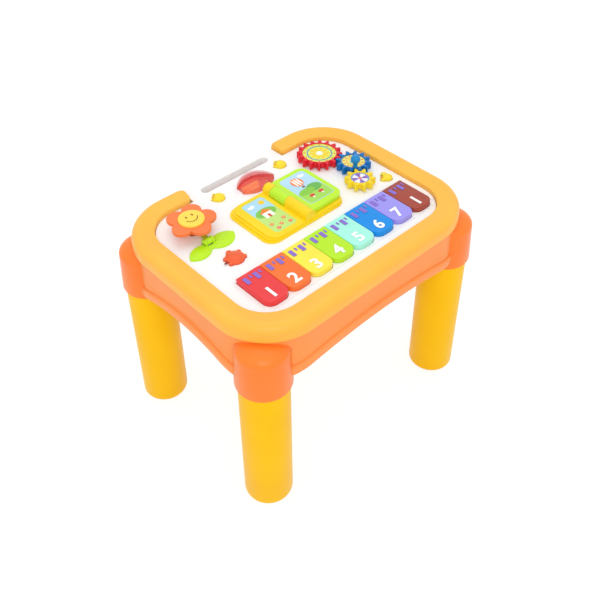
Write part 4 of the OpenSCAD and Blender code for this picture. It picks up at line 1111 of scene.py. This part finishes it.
def add_camera():
    """Camera at the photograph's viewing angle."""
    focal, centre_x, centre_y = 822.7, 290.4, 210.0
    data = bpy.data.cameras.new("photo_camera")
    data.sensor_width = SENSOR
    data.lens = focal * SENSOR / PHOTO_PIXELS
    data.shift_x = (PHOTO_PIXELS / 2 - centre_x) / PHOTO_PIXELS
    data.shift_y = (centre_y - PHOTO_PIXELS / 2) / PHOTO_PIXELS
    camera = add_object("photo_camera", data)
    camera.matrix_world = aim(az=-41.9, el=37.9, distance=1153.2, target=(-8.2, 7.3, 336.8), roll=-1.0)
    bpy.context.scene.camera = camera


def add_lamp(name, place, towards, size, power):
    """Square soft lamp that points at a place."""
    data = bpy.data.lights.new(name, "AREA")
    data.size = size
    data.energy = power
    made = add_object(name, data)
    made.location = place
    made.rotation_euler = (Vector(towards) - Vector(place)).to_track_quat("-Z", "Y").to_euler()


def background_seen(nodes, links):
    """Socket that is 1 for rays that show the background itself."""
    path = nodes.new("ShaderNodeLightPath")
    total = path.outputs["Is Camera Ray"]
    for ray in ("Is Glossy Ray", "Is Transmission Ray"):
        either = nodes.new("ShaderNodeMath")
        either.operation = "MAXIMUM"
        links.new(total, either.inputs[0])
        links.new(path.outputs[ray], either.inputs[1])
        total = either.outputs[0]
    return total


def add_world():
    """Even white surroundings."""
    world = bpy.data.worlds.new("soft_white")
    bpy.context.scene.world = world
    world.use_nodes = True
    nodes, links = world.node_tree.nodes, world.node_tree.links
    even = nodes["Background"]
    set_inputs(even, Color=WHITE, Strength=0.8)
    white = nodes.new("ShaderNodeBackground")
    set_inputs(white, Color=WHITE)
    mix = nodes.new("ShaderNodeMixShader")
    links.new(background_seen(nodes, links), mix.inputs["Fac"])
    links.new(even.outputs[0], mix.inputs[1])
    links.new(white.outputs[0], mix.inputs[2])
    links.new(mix.outputs[0], nodes["World Output"].inputs["Surface"])


def add_floor():
    """Pale floor that keeps a light shadow."""
    bm = bmesh.new()
    bmesh.ops.create_grid(bm, x_segments=1, y_segments=1, size=6)
    mesh = bpy.data.meshes.new("floor")
    bm.to_mesh(mesh)
    bm.free()
    floor = add_object("floor", mesh)
    pale = bpy.data.materials.new("pale_floor")
    pale.use_nodes = True
    nodes, links = pale.node_tree.nodes, pale.node_tree.links
    shader = nodes["Principled BSDF"]
    # The warm base colour is painted light: the orange light bounced from the table onto the floor near it.
    set_inputs(shader, Base_Color=(0.95, 0.79, 0.7, 1), Roughness=0.9, Specular_IOR_Level=0.1)
    glow = nodes.new("ShaderNodeEmission")
    set_inputs(glow, Strength=1.35)
    mix = nodes.new("ShaderNodeMixShader")
    share = nodes.new("ShaderNodeMath")
    share.operation = "MULTIPLY"
    share.inputs[1].default_value = 0.6
    links.new(background_seen(nodes, links), share.inputs[0])
    links.new(share.outputs[0], mix.inputs["Fac"])
    links.new(shader.outputs[0], mix.inputs[1])
    links.new(glow.outputs[0], mix.inputs[2])
    links.new(mix.outputs[0], nodes["Material Output"].inputs["Surface"])
    mesh.materials.append(pale)


# ---- Operators and panel ----


class TABLE_OT_stage(bpy.types.Operator):
    """Add the camera, the lamps, the floor and the white surroundings"""

    bl_idname = "activity_table.stage"
    bl_label = "Stage"

    def execute(self, context):
        context.scene.view_settings.view_transform = "Standard"
        add_camera()
        add_world()
        add_floor()
        add_lamp("key_lamp", place=(-1.3, -1.6, 2.0), towards=(0, 0, 0.25), size=1.4, power=16)
        add_lamp("top_lamp", place=(0.3, 0.4, 2.2), towards=(0, 0, 0.3), size=1.8, power=7)
        return {"FINISHED"}


class TABLE_OT_frame(bpy.types.Operator):
    """Add the rim, the skirt, the corner sockets and the legs"""

    bl_idname = "activity_table.frame"
    bl_label = "Table frame"

    def execute(self, context):
        rim()
        skirt()
        sockets()
        legs()
        return {"FINISHED"}


class TABLE_OT_keys(bpy.types.Operator):
    """Add the eight keys with their printed bars and numbers"""

    bl_idname = "activity_table.keys"
    bl_label = "Keys"

    def execute(self, context):
        for i in range(1, KEY_COUNT + 1):
            key_cap(i, plastic(f"key_{i}_plastic", tint(f"key_{i}"), 0.2))
            key_marks(i)
        return {"FINISHED"}


class TABLE_OT_panel(bpy.types.Operator):
    """Add the play panel with its handle and the shell under it"""

    bl_idname = "activity_table.panel"
    bl_label = "Play panel"

    def execute(self, context):
        panel()
        return {"FINISHED"}


class TABLE_OT_gears(bpy.types.Operator):
    """Add the three gears, their discs and the crank knob"""

    bl_idname = "activity_table.gears"
    bl_label = "Gears"

    def execute(self, context):
        gears()
        return {"FINISHED"}


class TABLE_OT_book(bpy.types.Operator):
    """Add the book with its tray, page and pictures"""

    bl_idname = "activity_table.book"
    bl_label = "Book"

    def execute(self, context):
        book()
        return {"FINISHED"}


class TABLE_OT_flower(bpy.types.Operator):
    """Add the flower with its stem and leaves"""

    bl_idname = "activity_table.flower"
    bl_label = "Flower"

    def execute(self, context):
        flower()
        return {"FINISHED"}


class TABLE_OT_buttons(bpy.types.Operator):
    """Add the four push buttons"""

    bl_idname = "activity_table.buttons"
    bl_label = "Buttons"

    def execute(self, context):
        buttons()
        return {"FINISHED"}


class TABLE_OT_lamp(bpy.types.Operator):
    """Add the lamp window with what lies behind it"""

    bl_idname = "activity_table.lamp"
    bl_label = "Lamp"

    def execute(self, context):
        lamp()
        return {"FINISHED"}


class TABLE_OT_fittings(bpy.types.Operator):
    """Give the screws, pins, cells and electronics their finishes"""

    bl_idname = "activity_table.fittings"
    bl_label = "Fittings"

    def execute(self, context):
        fittings()
        return {"FINISHED"}


class TABLE_PT_tools(bpy.types.Panel):
    bl_idname = "TABLE_PT_tools"
    bl_label = "Activity Table"
    bl_space_type = "VIEW_3D"
    bl_region_type = "UI"
    bl_category = "Activity Table"

    def draw(self, context):
        for step in STEPS:
            self.layout.operator(step.bl_idname)


STEPS = (
    TABLE_OT_stage, TABLE_OT_frame, TABLE_OT_keys, TABLE_OT_panel, TABLE_OT_gears, TABLE_OT_book,
    TABLE_OT_flower, TABLE_OT_buttons, TABLE_OT_lamp, TABLE_OT_fittings)
CLASSES = (TableColours, TableSizes, *STEPS, TABLE_PT_tools)


def register():
    for made in CLASSES:
        bpy.utils.register_class(made)
    bpy.types.Scene.table_colours = PointerProperty(type=TableColours)
    bpy.types.Scene.table_sizes = PointerProperty(type=TableSizes)


def unregister():
    del bpy.types.Scene.table_colours
    del bpy.types.Scene.table_sizes
    for made in reversed(CLASSES):
        bpy.utils.unregister_class(made)


def main():
    """Registers the classes and runs every step."""
    register()
    for step in STEPS:
        group, action = step.bl_idname.split(".")
        getattr(getattr(bpy.ops, group), action)()


if __name__ == "__main__":
    main()
